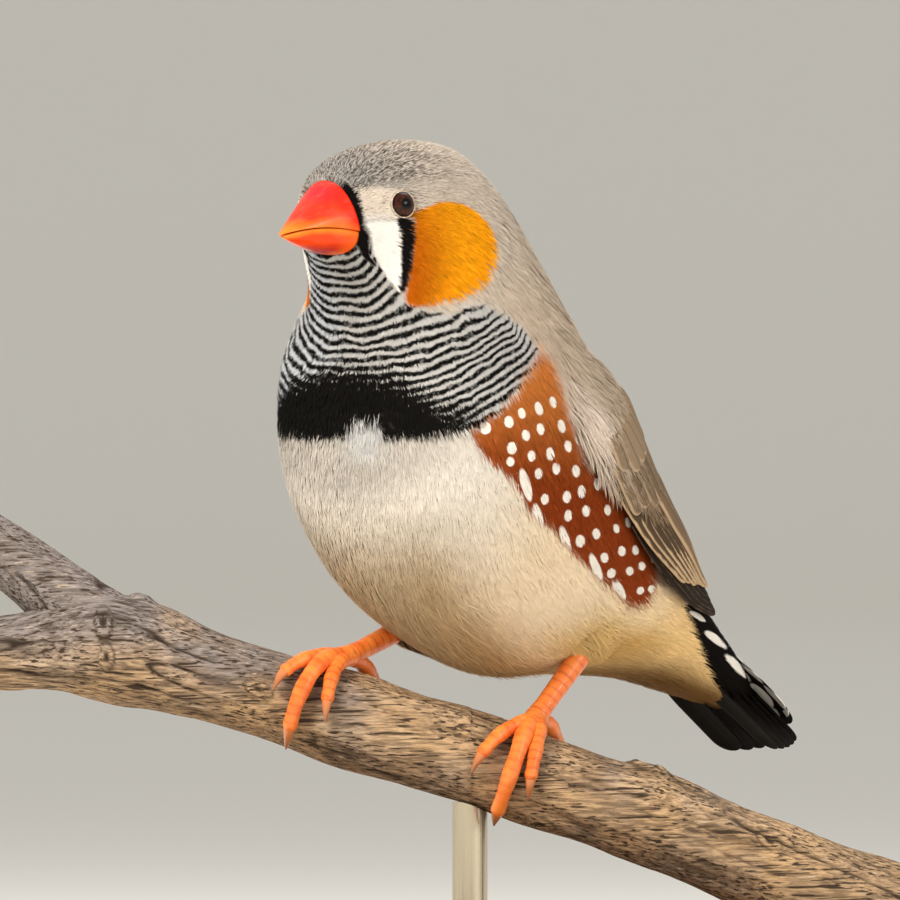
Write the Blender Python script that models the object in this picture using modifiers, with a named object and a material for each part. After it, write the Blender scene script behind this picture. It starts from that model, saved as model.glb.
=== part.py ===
"""Male zebra finch, life size, perched on a cut length of branch held by a plain display stand.

Sizes are in millimetres in the code and turned to metres when a mesh is made. The bird faces -Y, its left
side is +X, and the floor is Z = 0. "Forward" below means towards the bill, which is -Y.
"""
import math

import bmesh
import bpy
import numpy as np
from mathutils import Vector

# Driving sizes, in millimetres and degrees
MM = 0.001
GAP = 0.3
PICTURE_TURN = 40
BILL_TIP = 36.5
HEAD_TURN = math.radians(5)
NECK_FORWARD = 8.0
BIRD_X = -2.41
BIRD_Y = 2.87
BODY_SIDES = 28
HEAD_END = 5.3
NECK_SPAN = (5.37, 6.9)
TORSO_SPAN = (6.97, 12.9)
TAIL_SPAN = (12.98, 14.95)
EYE_U = 1.8
EYE_V = math.radians(180 - 76)
EYE_R = 1.7
EYE_SUNK = 0.85
LID_R = 1.95
LID_THICK = 0.38
VANE_THICK = 0.52
VANE_EDGE = 0.36
PAD_END = 0.84
LEG_LOW_R = 1.12
LEG_HIGH_R = 1.25
TOE_R = 1.0
CLAW_R = 0.62
CLAW_LENGTH = {1: 3.4, 2: 2.6, 3: 3.2, 4: 2.6}
ANKLE_HEIGHT = 1.75
PERCH_SIDES = 14
PERCH_SPAN = (-56.0, 51.5)
PERCH_RINGS = 34
BASE_R = 42.0
BASE_H = 6.0
ROD_R = 2.0
FLANGE_R = 5.0
ROD_TOP = 28.3
TURNED_STEPS = 48

RNG = np.random.default_rng(7)

for old in list(bpy.data.objects):
    bpy.data.objects.remove(old, do_unlink=True)

FINCH = bpy.data.collections.new("zebra_finch")
CUTTERS = bpy.data.collections.new("cutters")
bpy.context.scene.collection.children.link(FINCH)
bpy.context.scene.collection.children.link(CUTTERS)


# Mesh helpers


def make_object(name, points, faces, collection):
    """An object from points in millimetres, its faces turned outward."""
    mesh = bpy.data.meshes.new(name)
    mesh.from_pydata((np.asarray(points, float) * MM).tolist(), [], [list(map(int, f)) for f in faces])
    thing = bpy.data.objects.new(name, mesh)
    collection.objects.link(thing)
    cleaned(thing)
    if collection is CUTTERS:
        thing.hide_render = True
        thing.display_type = "WIRE"
    return thing


def loft(rings):
    """Points and faces of a closed body through rings of equal count, with flat ends."""
    rings = np.asarray(rings, float)
    count, around = rings.shape[:2]
    faces = []
    for i in range(count - 1):
        for j in range(around):
            k = (j + 1) % around
            faces.append((i * around + j, i * around + k, (i + 1) * around + k, (i + 1) * around + j))
    faces.append(tuple(range(around))[::-1])
    faces.append(tuple((count - 1) * around + j for j in range(around)))
    return rings.reshape(-1, 3), faces


def smooth_rows(rows, place):
    """Catmull-Rom values between equally spaced rows."""
    rows = np.asarray(rows, float)
    place = np.clip(np.asarray(place, float), 0, len(rows) - 1)
    low = np.minimum(place.astype(int), len(rows) - 2)
    f = (place - low)[..., None]
    pad = np.vstack([2 * rows[0] - rows[1], rows, 2 * rows[-1] - rows[-2]])
    a, b, c, d = (pad[low + k] for k in range(4))
    return b + 0.5 * f * (c - a + f * (2 * a - 5 * b + 4 * c - d + f * (3 * (b - c) + d - a)))


def unit(v):
    """Vectors scaled to length one."""
    v = np.asarray(v, float)
    return v / np.linalg.norm(v, axis=-1, keepdims=True)


def rounded_rod(name, path, radii, collection):
    """A round rod along a path, from a curve with a bevel and a radius at each point."""
    curve = bpy.data.curves.new(name, "CURVE")
    curve.dimensions = "3D"
    curve.bevel_depth = MM
    curve.bevel_resolution = 2
    curve.use_fill_caps = True
    spline = curve.splines.new("POLY")
    spline.points.add(len(path) - 1)
    for point, place, radius in zip(spline.points, path, radii):
        point.co = (*(np.asarray(place) * MM), 1)
        point.radius = radius
    holder = bpy.data.objects.new(name, curve)
    collection.objects.link(holder)
    view = bpy.context.evaluated_depsgraph_get()
    mesh = bpy.data.meshes.new_from_object(holder.evaluated_get(view))
    bpy.data.objects.remove(holder, do_unlink=True)
    thing = bpy.data.objects.new(name, mesh)
    collection.objects.link(thing)
    cleaned(thing)
    return thing


def turned(name, profile, height, collection):
    """A body turned about the upright axis: its half profile carried round by a Screw modifier."""
    mesh = bpy.data.meshes.new(name)
    corners = [(radius * MM, 0.0, (height + up) * MM) for radius, up in profile]
    mesh.from_pydata(corners, [(k, k + 1) for k in range(len(corners) - 1)], [])
    thing = bpy.data.objects.new(name, mesh)
    collection.objects.link(thing)
    screw = thing.modifiers.new("turn", "SCREW")
    screw.steps = TURNED_STEPS
    screw.render_steps = TURNED_STEPS
    screw.use_merge_vertices = True
    screw.merge_threshold = 1e-5
    applied(thing)
    cleaned(thing)
    return thing


def cleaned(thing):
    """Weld the seams of a mesh and turn its faces outward."""
    work = bmesh.new()
    work.from_mesh(thing.data)
    bmesh.ops.remove_doubles(work, verts=work.verts, dist=1e-7)
    bmesh.ops.triangulate(work, faces=work.faces)
    bmesh.ops.recalc_face_normals(work, faces=work.faces)
    work.to_mesh(thing.data)
    work.free()


def moved_to(thing, collection):
    """Leave an object in one collection only."""
    for owner in list(thing.users_collection):
        owner.objects.unlink(thing)
    collection.objects.link(thing)


def applied(thing):
    """Put an object's modifier result in its mesh."""
    view = bpy.context.evaluated_depsgraph_get()
    done = bpy.data.meshes.new_from_object(thing.evaluated_get(view))
    thing.modifiers.clear()
    thing.data = done


def keep_largest(thing):
    """Leave only the largest closed surface of a mesh."""
    work = bmesh.new()
    work.from_mesh(thing.data)
    bmesh.ops.remove_doubles(work, verts=work.verts, dist=2e-6)
    bmesh.ops.dissolve_degenerate(work, edges=work.edges, dist=1e-6)
    bmesh.ops.triangulate(work, faces=work.faces)
    left = set(work.faces)
    groups = []
    while left:
        start = left.pop()
        group = [start]
        waiting = [start]
        while waiting:
            here = waiting.pop()
            for edge in here.edges:
                for other in edge.link_faces:
                    if other in left and len(edge.link_faces) == 2:
                        left.discard(other)
                        group.append(other)
                        waiting.append(other)
        groups.append(group)
    groups.sort(key=len)
    spare = [face for group in groups[:-1] for face in group]
    bmesh.ops.delete(work, geom=spare, context="FACES")
    loose = [v for v in work.verts if not v.link_faces]
    bmesh.ops.delete(work, geom=loose, context="VERTS")
    bmesh.ops.recalc_face_normals(work, faces=work.faces)
    work.to_mesh(thing.data)
    work.free()


def cut(thing, cutter, solver="EXACT"):
    """Take a cutter away from an object."""
    step = thing.modifiers.new("cut", "BOOLEAN")
    step.operation = "DIFFERENCE"
    step.solver = solver
    step.object = cutter
    applied(thing)
    keep_largest(thing)


def join(thing, pieces, solver="EXACT"):
    """Unite an object with a list of pieces, which are then removed."""
    group = bpy.data.collections.new("pieces")
    CUTTERS.children.link(group)
    for piece in pieces:
        CUTTERS.objects.unlink(piece)
        group.objects.link(piece)
    step = thing.modifiers.new("join", "BOOLEAN")
    step.operation = "UNION"
    step.solver = solver
    step.operand_type = "COLLECTION"
    step.collection = group
    applied(thing)
    keep_largest(thing)
    for piece in pieces:
        bpy.data.objects.remove(piece, do_unlink=True)
    bpy.data.collections.remove(group)


def paint(thing, name, colour, rough, metallic=0.0):
    """Give an object its own material and smooth shading."""
    material = bpy.data.materials.new(name)
    material.use_nodes = True
    shader = material.node_tree.nodes["Principled BSDF"]
    shader.inputs["Base Color"].default_value = (*colour, 1)
    shader.inputs["Roughness"].default_value = rough
    shader.inputs["Metallic"].default_value = metallic
    thing.data.materials.clear()
    thing.data.materials.append(material)
    thing.data.shade_smooth()
    thing.data.set_sharp_from_angle(angle=math.radians(40))


# Body shape: slanted oval sections from the bill root to the tail coverts

# Each row: back point (forward, up), belly point (forward, up), half width, egg, fullness, sway to the left
BODY = np.array([
    [28.0, 94.8, 26.6, 86.0, 4.2, 0.12, 0.07, 0.0],
    [24.6, 96.7, 24.7, 83.9, 5.5, 0.00, 0.09, 0.0],
    [19.6, 98.4, 23.6, 81.0, 7.0, -0.05, 0.08, 0.1],
    [13.0, 99.3, 23.2, 77.8, 8.3, -0.03, 0.07, 0.3],
    [5.2, 98.3, 23.2, 74.0, 9.4, 0.09, 0.06, -0.1],
    [-1.2, 94.4, 22.9, 69.6, 12.2, 0.19, 0.06, -0.8],
    [-5.6, 87.6, 22.5, 64.8, 14.4, 0.18, 0.06, -0.45],
    [-10.6, 79.6, 21.5, 59.4, 16.5, 0.13, 0.04, -0.15],
    [-15.2, 71.6, 19.4, 53.4, 17.2, 0.05, 0.03, 0.1],
    [-20.0, 63.6, 15.2, 47.0, 16.0, 0.00, 0.02, 0.5],
    [-24.8, 56.8, 8.2, 42.2, 13.9, -0.03, 0.02, 0.9],
    [-29.4, 51.8, -1.8, 38.5, 11.5, -0.05, 0.02, 0.9],
    [-34.5, 48.5, -12.0, 38.6, 9.3, -0.03, 0.02, 0.6],
    [-39.8, 44.3, -26.0, 38.0, 7.1, 0.00, 0.02, 0.4],
    [-44.3, 40.0, -37.0, 36.0, 5.4, 0.00, 0.02, 0.5],
    [-47.6, 36.4, -45.0, 34.2, 2.8, 0.00, 0.02, 0.7],
])


def placed(point, turn=0.0):
    """Bird coordinates (left, forward, up) to world, the head turned about the neck."""
    point = np.asarray(point, float)
    x, y = point[..., 0], NECK_FORWARD - point[..., 1]
    c, s = np.cos(turn), np.sin(turn)
    return np.stack([x * c - y * s + BIRD_X, x * s + y * c - NECK_FORWARD + BIRD_Y, point[..., 2]], -1)


def body_section(u, v):
    """World points of the plumage: u runs bill to tail, v around from the belly by the left side."""
    u, v = np.broadcast_arrays(np.asarray(u, float), np.asarray(v, float))
    row = smooth_rows(BODY, u)
    middle = (row[..., 0:2] + row[..., 2:4]) / 2
    half = (row[..., 0:2] - row[..., 2:4]) / 2
    full = 1 + row[..., 6] * np.sin(2 * v) ** 2
    along = middle - half * (np.cos(v) * full)[..., None]
    side = np.sin(v) * (1 + row[..., 5] * np.cos(v)) * full * row[..., 4] + row[..., 7]
    blend = np.clip((6.5 - u) / 3.0, 0, 1)
    blend = blend * blend * (3 - 2 * blend)
    return placed(np.stack([side, along[..., 0], along[..., 1]], -1), HEAD_TURN * blend)


def body(u, v, lift=0.0):
    """Points lifted off the plumage surface."""
    e = 1e-3
    flow = body_section(u + e, v) - body_section(u - e, v)
    around = body_section(u, v + e) - body_section(u, v - e)
    out = unit(np.cross(flow, around))
    return body_section(u, v) + out * np.asarray(lift, float)[..., None], out


def body_loft(start, end, steps, around, lift=0.0):
    """A closed length of the body."""
    u = np.linspace(start, end, steps)
    v = np.linspace(0, 2 * math.pi, around, endpoint=False)
    points, _ = body(u[:, None], v[None, :], np.full((steps, around), lift))
    return loft(points)


# Bill

def bill_rings(upper):
    """Sections of one mandible, from its base to its tip, split along the line of the mouth."""
    t = np.array([0, 0.12, 0.26, 0.42, 0.58, 0.73, 0.86, 0.95, 1.0])[:, None]
    reach = 1.0 if upper else 0.94
    culmen = 94.6 - 6.2 * t ** 1.07
    keel = 86.15 + 1.9 * t ** 1.5
    width = 3.85 * np.clip(1 - t ** 1.06, 0, 1) ** 0.92 + 0.25
    edge = 88.85 + 0.5 * np.sin(math.pi * t) ** 0.8 - 0.5 * t ** 2
    middle, half = (culmen + keel) / 2, (culmen - keel) / 2
    if upper:
        start = np.arccos(np.clip((middle - edge) / half, -0.95, 0.95))
        v = start + (2 * math.pi - 2 * start) * np.linspace(0, 1, 11)[None, :]
        flat = edge
    else:
        width = width * 0.96
        flat = np.maximum(edge - GAP, keel + 0.25)
        start = np.arccos(np.clip((middle - flat) / half, -0.95, 0.95))
        v = -start + 2 * start * np.linspace(0, 1, 11)[None, :]
    full = 1 + 0.05 * (1 - t) * np.sin(2 * v) ** 2
    x = width * np.sin(v) * full * (1 + 0.25 * (1 - t) * np.cos(v))
    z = middle - half * np.cos(v) * full
    z[:, [0, -1]] = flat
    inner = x[:, [-1]] + (x[:, [0]] - x[:, [-1]]) * np.array([0.25, 0.5, 0.75])
    x = np.concatenate([x, inner], 1)
    z = np.concatenate([z, np.repeat(flat, 3, 1)], 1)
    base = 26.6 + 1.4 * (z - 86.0) / 8.8 + GAP
    y = base + (BILL_TIP - base) * reach * t
    return placed(np.stack([x, y, z], -1), HEAD_TURN)


for part_name, is_upper in (("bill_upper", True), ("bill_lower", False)):
    mandible = make_object(part_name, *loft(bill_rings(is_upper)), FINCH)
    paint(mandible, part_name, (0.72, 0.07, 0.03) if is_upper else (0.75, 0.12, 0.04), 0.35)


# Head, neck and torso

head = make_object("head", *body_loft(0.0, HEAD_END, 15, BODY_SIDES), FINCH)
neck = make_object("neck", *body_loft(*NECK_SPAN, 6, BODY_SIDES), FINCH)
torso = make_object("torso", *body_loft(*TORSO_SPAN, 17, BODY_SIDES), FINCH)

for side, part_name in ((1, "eye_left"), (-1, "eye_right")):
    spot, out = body(np.array(EYE_U), np.array(side * EYE_V), 0.0)
    centre = spot - out * EYE_SUNK
    aim = Vector(out).to_track_quat("Z", "Y")
    for kind, radius in (("ball", EYE_R), ("socket", EYE_R + GAP)):
        bpy.ops.mesh.primitive_uv_sphere_add(segments=16, ring_count=10, radius=radius * MM)
        ball = bpy.context.object
        ball.rotation_mode = "QUATERNION"
        ball.rotation_quaternion = aim
        ball.location = Vector(centre) * MM
        if kind == "ball":
            ball.name = part_name
            moved_to(ball, FINCH)
            paint(ball, part_name, (0.05, 0.015, 0.01), 0.1)
        else:
            bpy.ops.mesh.primitive_torus_add(
                major_radius=LID_R * MM, minor_radius=LID_THICK * MM, major_segments=18, minor_segments=6)
            lid = bpy.context.object
            lid.rotation_mode = "QUATERNION"
            lid.rotation_quaternion = aim
            lid.location = Vector(spot - out * 0.1) * MM
            moved_to(ball, CUTTERS)
            moved_to(lid, CUTTERS)
            bpy.context.view_layer.update()
            join(head, [lid])
            cut(head, ball)
            bpy.data.objects.remove(ball, do_unlink=True)

paint(head, "head", (0.42, 0.40, 0.38), 0.8)
paint(neck, "neck", (0.45, 0.43, 0.41), 0.8)
paint(torso, "torso", (0.75, 0.70, 0.62), 0.8)

# Wings: a pad over the side of the back, with overlapping flight feathers and two rows of coverts

# Each row: u, back edge and lower edge in degrees from the mid-back
WING = np.array([
    [7.2, 48, 74],
    [7.65, 34, 78],
    [8.3, 22, 78],
    [9.0, 14, 76],
    [9.7, 10, 73],
    [10.4, 9, 68],
    [11.1, 10, 62],
    [11.85, 18, 56],
    [12.5, 34, 51],
])


def wing_angle(s, t):
    """Body coordinates over the folded wing: s from shoulder to tip, t from back edge to lower edge."""
    row = smooth_rows(WING, np.asarray(s, float) * (len(WING) - 1))
    return row[..., 0], np.radians(row[..., 1] + (row[..., 2] - row[..., 1]) * t)


def wing_height(s, t):
    """Height of the pad over the torso."""
    across = np.clip(1 - np.abs(2 * t - 1) ** 2.6, 0, 1) ** 0.5
    along = np.clip(s / 0.35, 0, 1) ** 0.8 * np.clip((0.95 - s) / 0.6, 0, 1) ** 0.5
    return GAP + 0.35 + (0.55 + 0.9 * np.exp(-((s - 0.66) / 0.16) ** 2)) * across * along


def wing_pad(side):
    """Closed pad from the shoulder to beyond the middle of the wing."""
    s = np.linspace(0, PAD_END, 12)
    t = np.linspace(0, 1, 9)
    ss, tt = np.meshgrid(s, t, indexing="ij")
    u, angle = wing_angle(ss, tt)
    inner, _ = body(u, side * (math.pi - angle), np.full(ss.shape, GAP + 0.1))
    outer, _ = body(u, side * (math.pi - angle), wing_height(ss, tt) + 0.15)
    return loft(np.concatenate([outer, inner[:, ::-1]], 1))


# Each row: stem share along the feather, share of its width there
VANE_STEPS = np.array([[0.0, 0.55], [0.28, 0.9], [0.58, 1.0], [0.82, 0.9], [0.95, 0.52], [1.0, 0.16]])


def wing_vane(side, root, tip, width, level):
    """A thin closed feather over the wing, from root to tip in wing coordinates (s, t)."""
    steps = VANE_STEPS if tip[0] - root[0] > 0.35 else VANE_STEPS[[0, 1, 3, 4, 5]]
    share = steps[:, 0]
    s = root[0] + (tip[0] - root[0]) * share
    t = root[1] + (tip[1] - root[1]) * share
    u, angle = wing_angle(s, t)
    v = side * (math.pi - angle)
    e = 1e-3
    su = (body_section(u + e, v) - body_section(u - e, v)) / (2 * e)
    sv = (body_section(u, v + e) - body_section(u, v - e)) / (2 * e)
    middle, out = body(u, v, np.zeros(len(u)))
    ahead = unit(np.gradient(middle, axis=0))
    across = unit(np.cross(out, ahead))
    uu, uv, vv = (su * su).sum(1), (su * sv).sum(1), (sv * sv).sum(1)
    ru, rv = (across * su).sum(1), (across * sv).sum(1)
    det = uu * vv - uv * uv
    du, dv = (vv * ru - uv * rv) / det, (uu * rv - uv * ru) / det
    half = width / 2 * steps[:, 1]
    sunk = np.clip(share / 0.35, 0, 1) ** 0.7
    tip_lift = 0.1 + 0.25 * np.clip((s - 0.72) / 0.28, 0, 1) ** 1.5
    low = wing_height(np.clip(s, 0, 1), np.clip(t, 0, 1)) - 0.45 * (1 - sunk) + level * sunk
    low = np.maximum(low + tip_lift * share ** 2, GAP + 0.1)
    rings = []
    for place, top in ((-1, VANE_EDGE), (0, VANE_THICK), (1, VANE_EDGE)):
        shift = place * half
        upper, _ = body(u + du * shift, v + dv * shift, low + top * np.where(share > 0.9, 0.7, 1.0))
        lower, _ = body(u + du * shift, v + dv * shift, low)
        rings.append((upper, lower))
    ring = np.stack([rings[0][0], rings[1][0], rings[2][0], rings[2][1], rings[1][1], rings[0][1]], 1)
    return loft(ring)


def wing_feathers(side, rng):
    """The feathers of one wing, from the lowest layer to the highest."""
    plan = []
    for i in range(5):
        k = i / 4
        tip = (1.0 - 0.16 * k ** 1.3, 0.62 - 0.30 * k)
        plan.append(((0.42, 0.84 - 0.22 * k), tip, 3.1, 0.12 * i))
    for i in range(3):
        k = i / 2
        plan.append(((0.30, 0.76 - 0.26 * k), (0.85 - 0.05 * k, 0.64 - 0.24 * k), 3.9, 0.28 + 0.1 * i))
    for i in range(3):
        k = i / 2
        plan.append(((0.25, 0.44 - 0.2 * k), (0.82 - 0.13 * k, 0.36 - 0.16 * k), 4.6, 0.45 + 0.14 * i))
    for i in range(6):
        k = i / 5
        tip = (0.44 + 0.04 * math.sin(3 * k), 0.9 - 0.76 * k)
        plan.append(((0.17, 0.88 - 0.70 * k), tip, 4.4, 0.34 + 0.05 * i))
    for i in range(4):
        k = i / 3
        tip = (0.31 + 0.02 * math.sin(3 * k), 0.84 - 0.66 * k)
        plan.append(((0.08, 0.80 - 0.56 * k), tip, 5.0, 0.50 + 0.05 * i))
    made = []
    for root, tip, width, level in plan:
        jitter = rng.normal(0, 0.006, 4)
        root = (root[0] + jitter[0], root[1] + jitter[1])
        tip = (min(tip[0] + jitter[2], 1.0), tip[1] + jitter[3])
        made.append(wing_vane(side, root, tip, width * (1 + rng.normal(0, 0.03)), level))
    return made


for side, part_name in ((1, "wing_left"), (-1, "wing_right")):
    wing = make_object(part_name, *wing_pad(side), FINCH)
    join(wing, [make_object("feather", *mesh, CUTTERS) for mesh in wing_feathers(side, RNG)])
    paint(wing, part_name, (0.30, 0.25, 0.21), 0.75)

# Tail: coverts carried on from the torso, with the fan of the tail

TAIL_ROOT = np.array([0.3, -38.6, 42.6])
TAIL_AHEAD = unit(np.array([0.07, -0.75, -0.66]))
TAIL_TOP = unit(np.array([0.0, -0.66, 0.75]))
TAIL_SIDE = unit(np.cross(TAIL_TOP, TAIL_AHEAD))
TAIL_VANE_THICK = 0.55


def tail_vane(start, end, width, sag=0.0):
    """A thin closed feather from start to end in tail coordinates (along, left, up)."""
    share = VANE_STEPS[:, 0]
    start, end = np.asarray(start, float), np.asarray(end, float)
    middle = start + (end - start) * share[:, None]
    middle[:, 2] += sag * np.sin(math.pi * share)
    half = width / 2 * VANE_STEPS[:, 1]
    roof = -0.05 * middle[:, 1]
    rings = []
    for place, top in ((-1, VANE_EDGE), (0, TAIL_VANE_THICK), (1, VANE_EDGE)):
        at = middle.copy()
        at[:, 1] += place * half
        at[:, 2] += place * half * roof
        high = at.copy()
        high[:, 2] += top * np.where(share > 0.9, 0.7, 1.0)
        rings.append((high, at))
    ring = np.stack([rings[0][0], rings[1][0], rings[2][0], rings[2][1], rings[1][1], rings[0][1]], 1)
    world = TAIL_ROOT + ring[..., 0:1] * TAIL_AHEAD + ring[..., 1:2] * TAIL_SIDE + ring[..., 2:3] * TAIL_TOP
    return loft(placed(world))


def tail_feathers():
    """Ten tail feathers in a low roof, and the six long coverts above them."""
    made = []
    for k in range(5):
        for side in (1, -1):
            lift = 0.3 - 0.95 * k - 0.03 * k * k - (0.06 if side > 0 else 0.0)
            length = 19.1 - 0.35 * k - 0.13 * k * k
            end = (length, side * (1.0 + 0.5 * k) + 1.3, lift + 0.35)
            made.append(tail_vane((0.4, side * (0.5 + 0.5 * k), lift - 0.4), end, 3.7))
    for k in range(3):
        for side in (1, -1):
            lift = 1.6 - 0.75 * k + (0.05 if side > 0 else 0.0)
            start = (0.3, side * (0.7 + 1.0 * k), lift - 0.75)
            end = (17.6 - 2.0 * k, side * (1.3 + 1.3 * k) + 0.5, lift + 0.3)
            made.append(tail_vane(start, end, 3.9, 0.5))
    return made


tail = make_object("tail", *body_loft(*TAIL_SPAN, 8, 24), FINCH)
join(tail, [make_object("feather", *mesh, CUTTERS) for mesh in tail_feathers()])
paint(tail, "tail", (0.06, 0.05, 0.05), 0.7)

# Perch: a cut length of branch with a fork, its axis level with the camera's picture

RIGHT = np.array([math.cos(math.radians(PICTURE_TURN)), math.sin(math.radians(PICTURE_TURN)), 0.0])
NEAR = np.array([math.sin(math.radians(PICTURE_TURN)), -math.cos(math.radians(PICTURE_TURN)), 0.0])
UP = np.array([0.0, 0.0, 1.0])

# Each row: distance along the branch from the rod, height, radius
BRANCH = np.array([
    [-56.0, 41.0, 3.9],
    [-51.0, 41.4, 4.3],
    [-46.0, 41.9, 5.3],
    [-41.0, 42.0, 6.3],
    [-34.7, 40.4, 5.8],
    [-29.6, 38.5, 5.35],
    [-23.0, 36.3, 5.3],
    [-19.3, 35.1, 5.4],
    [-12.0, 32.9, 5.7],
    [-2.9, 30.2, 5.6],
    [3.7, 28.0, 5.45],
    [11.5, 25.4, 5.5],
    [14.8, 23.9, 5.6],
    [21.3, 22.2, 5.75],
    [29.9, 18.2, 5.9],
    [40.0, 14.2, 6.0],
    [51.5, 10.2, 6.0],
])


def branch_at(s):
    """Height and radius of the branch at a distance along it."""
    return np.interp(s, BRANCH[:, 0], BRANCH[:, 1]), np.interp(s, BRANCH[:, 0], BRANCH[:, 2])


def branch_rings(grown=0.0):
    """Rings of the main stem, with slow lumps."""
    s = np.linspace(*PERCH_SPAN, PERCH_RINGS)
    height, radius = branch_at(s)
    kernel = np.array([0.25, 0.5, 0.25])
    height[1:-1] = np.convolve(height, kernel, "valid")
    turn = np.linspace(0, 2 * math.pi, PERCH_SIDES, endpoint=False)
    lump = 0.16 * np.sin(0.31 * s)[:, None] * np.cos(2 * turn + 0.7)
    lump = lump + 0.1 * np.sin(0.53 * s + 1)[:, None] * np.cos(3 * turn)
    r = radius[:, None] + lump + grown
    middle = s[:, None] * RIGHT + height[:, None] * UP
    return middle[:, None] + r[..., None] * (np.cos(turn)[:, None] * UP + np.sin(turn)[:, None] * NEAR)


perch = make_object("perch", *loft(branch_rings()), FINCH)
# Each point of the fork: distance along the branch, height, towards the camera, radius
FORK = np.array([
    [-37.5, 41.5, 0.0, 4.4],
    [-41.5, 43.6, -0.4, 4.6],
    [-45.5, 46.6, -1.0, 4.3],
    [-50.0, 50.2, -1.6, 3.8],
    [-56.0, 54.4, -2.2, 3.3],
])
fork_path = FORK[:, 0:1] * RIGHT + FORK[:, 1:2] * UP + FORK[:, 2:3] * NEAR
join(perch, [rounded_rod("fork", fork_path, FORK[:, 3], CUTTERS)])
paint(perch, "perch", (0.30, 0.22, 0.16), 0.85)
grown_perch = make_object("grown_perch", *loft(branch_rings(GAP)), CUTTERS)

# Feet: toes laid round the branch, with the claws in line after them

# Each toe: points of (distance along the branch, degrees from its top towards the camera, height over the bark)
FEET = {
    "left": {
        "ankle": (7.6, 6.0),
        "heel": (9.7, -9.8, 42.4),
        1: [(7.8, 4, 0.3), (8.9, -14, 0.1), (9.7, -36, 0), (10.2, -58, 0), (10.4, -84, 0), (10.2, -104, 0)],
        2: [(7.4, 8, 0.3), (6.0, 30, 0.1), (4.2, 48, 0.1), (2.4, 68, 0), (1.0, 88, 0), (0.2, 104, 0)],
        3: [(7.4, 8, 0.3), (6.3, 44, 0.2), (5.2, 76, 0.1), (4.1, 106, 0), (3.2, 134, 0.1), (2.7, 162, 0.3)],
        4: [(7.6, 8, 0.3), (7.8, 34, 0.1), (7.5, 58, 0), (7.1, 78, 0), (6.8, 96, 0), (6.6, 112, 0)],
    },
    "right": {
        "ankle": (-13.6, 0.0),
        "heel": (-8.0, 1.6, 44.1),
        1: [(-13.4, 0, 0.3), (-12.3, -14, 0.1), (-11.2, -36, 0), (-10.6, -58, 0), (-10.4, -84, 0), (-10.6, -104, 0)],
        2: [(-13.8, 4, 0.3), (-15.8, 14, 0.1), (-18.0, 30, 0.1), (-20.0, 48, 0), (-21.5, 66, 0), (-22.3, 82, 0)],
        3: [(-13.8, 4, 0.3), (-16.2, 28, 0.2), (-18.0, 54, 0.1), (-19.5, 84, 0), (-20.4, 112, 0.1), (-20.9, 140, 0.3)],
        4: [(-13.6, 4, 0.3), (-14.9, 28, 0.1), (-15.6, 48, 0), (-16.0, 66, 0), (-16.3, 84, 0), (-16.4, 98, 0)],
    },
}


def on_branch(s, degrees, over):
    """A point over the bark."""
    height, radius = branch_at(s)
    a = np.radians(degrees)
    r = radius + over
    return s * RIGHT + height * UP + r * (math.cos(a) * UP + math.sin(a) * NEAR)


def fine_path(path):
    """Many points of a smooth path, and the length run at each."""
    fine = smooth_rows(path, np.linspace(0, len(path) - 1, 200))
    return fine, np.concatenate([[0], np.cumsum(np.linalg.norm(np.diff(fine, axis=0), axis=1))])


def path_length(path):
    """The whole length of a smooth path."""
    return fine_path(path)[1][-1]


def resampled(path, length_from, length_to, count):
    """Points at even distances along a smooth path, between two lengths counted from its start."""
    fine, run = fine_path(path)
    want = np.linspace(length_from, length_to, count)
    return np.stack([np.interp(want, run, fine[:, k]) for k in range(3)], 1)


for side_name, foot_plan in FEET.items():
    ankle = on_branch(*foot_plan["ankle"], ANKLE_HEIGHT)
    heel = placed(np.array(foot_plan["heel"]))
    shank = unit(heel - ankle)
    toes = []
    grown_toes = []
    for number, claw_length in CLAW_LENGTH.items():
        thick = TOE_R * (1.12 if number == 3 else 1.0)
        path = np.array([on_branch(s, a, over + GAP + thick) for s, a, over in foot_plan[number]])
        whole = path_length(path)
        end = whole - claw_length
        toe = resampled(path, 0, end, 10)
        share = np.linspace(0, 1, 10)
        radii = thick * (1 - 0.28 * share) * (1 + 0.06 * np.cos(share * 6 * math.pi))
        toes.append(rounded_rod("toe", toe, radii, CUTTERS))
        grown_toes.append(rounded_rod("grown_toe", toe, radii + GAP, CUTTERS))
        claw = resampled(path, end + GAP, whole, 6)
        claw_radii = CLAW_R * thick * (1 - 0.82 * np.linspace(0, 1, 6) ** 1.3)
        nail = rounded_rod(f"claw_{side_name}_{number}", claw, claw_radii, FINCH)
        paint(nail, nail.name, (0.50, 0.24, 0.12), 0.4)
    stub = np.linspace(0, 1, 4)[:, None] * shank * 2.2 + ankle - shank * 0.3
    foot = rounded_rod(f"foot_{side_name}", stub, (1.25, 1.3, 1.25, 1.15), FINCH)
    join(foot, toes)
    cut(foot, grown_perch)
    paint(foot, foot.name, (0.72, 0.25, 0.08), 0.5)
    leg_start = ankle + shank * (1.9 + GAP)
    leg_path = leg_start + np.linspace(0, 1, 9)[:, None] * (heel - leg_start)
    leg = rounded_rod(f"leg_{side_name}", leg_path, np.linspace(LEG_LOW_R, LEG_HIGH_R, 9), FINCH)
    for grown in grown_toes:
        cut(leg, grown)
    paint(leg, leg.name, (0.74, 0.27, 0.09), 0.5)

grown_torso = make_object("grown_torso", *body_loft(6.6, 13.1, 19, BODY_SIDES, GAP), CUTTERS)
for side_name in ("left", "right"):
    cut(FINCH.objects[f"leg_{side_name}"], grown_torso)

# Stand: a turned disc and one turned rod with its flange up to the branch

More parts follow.
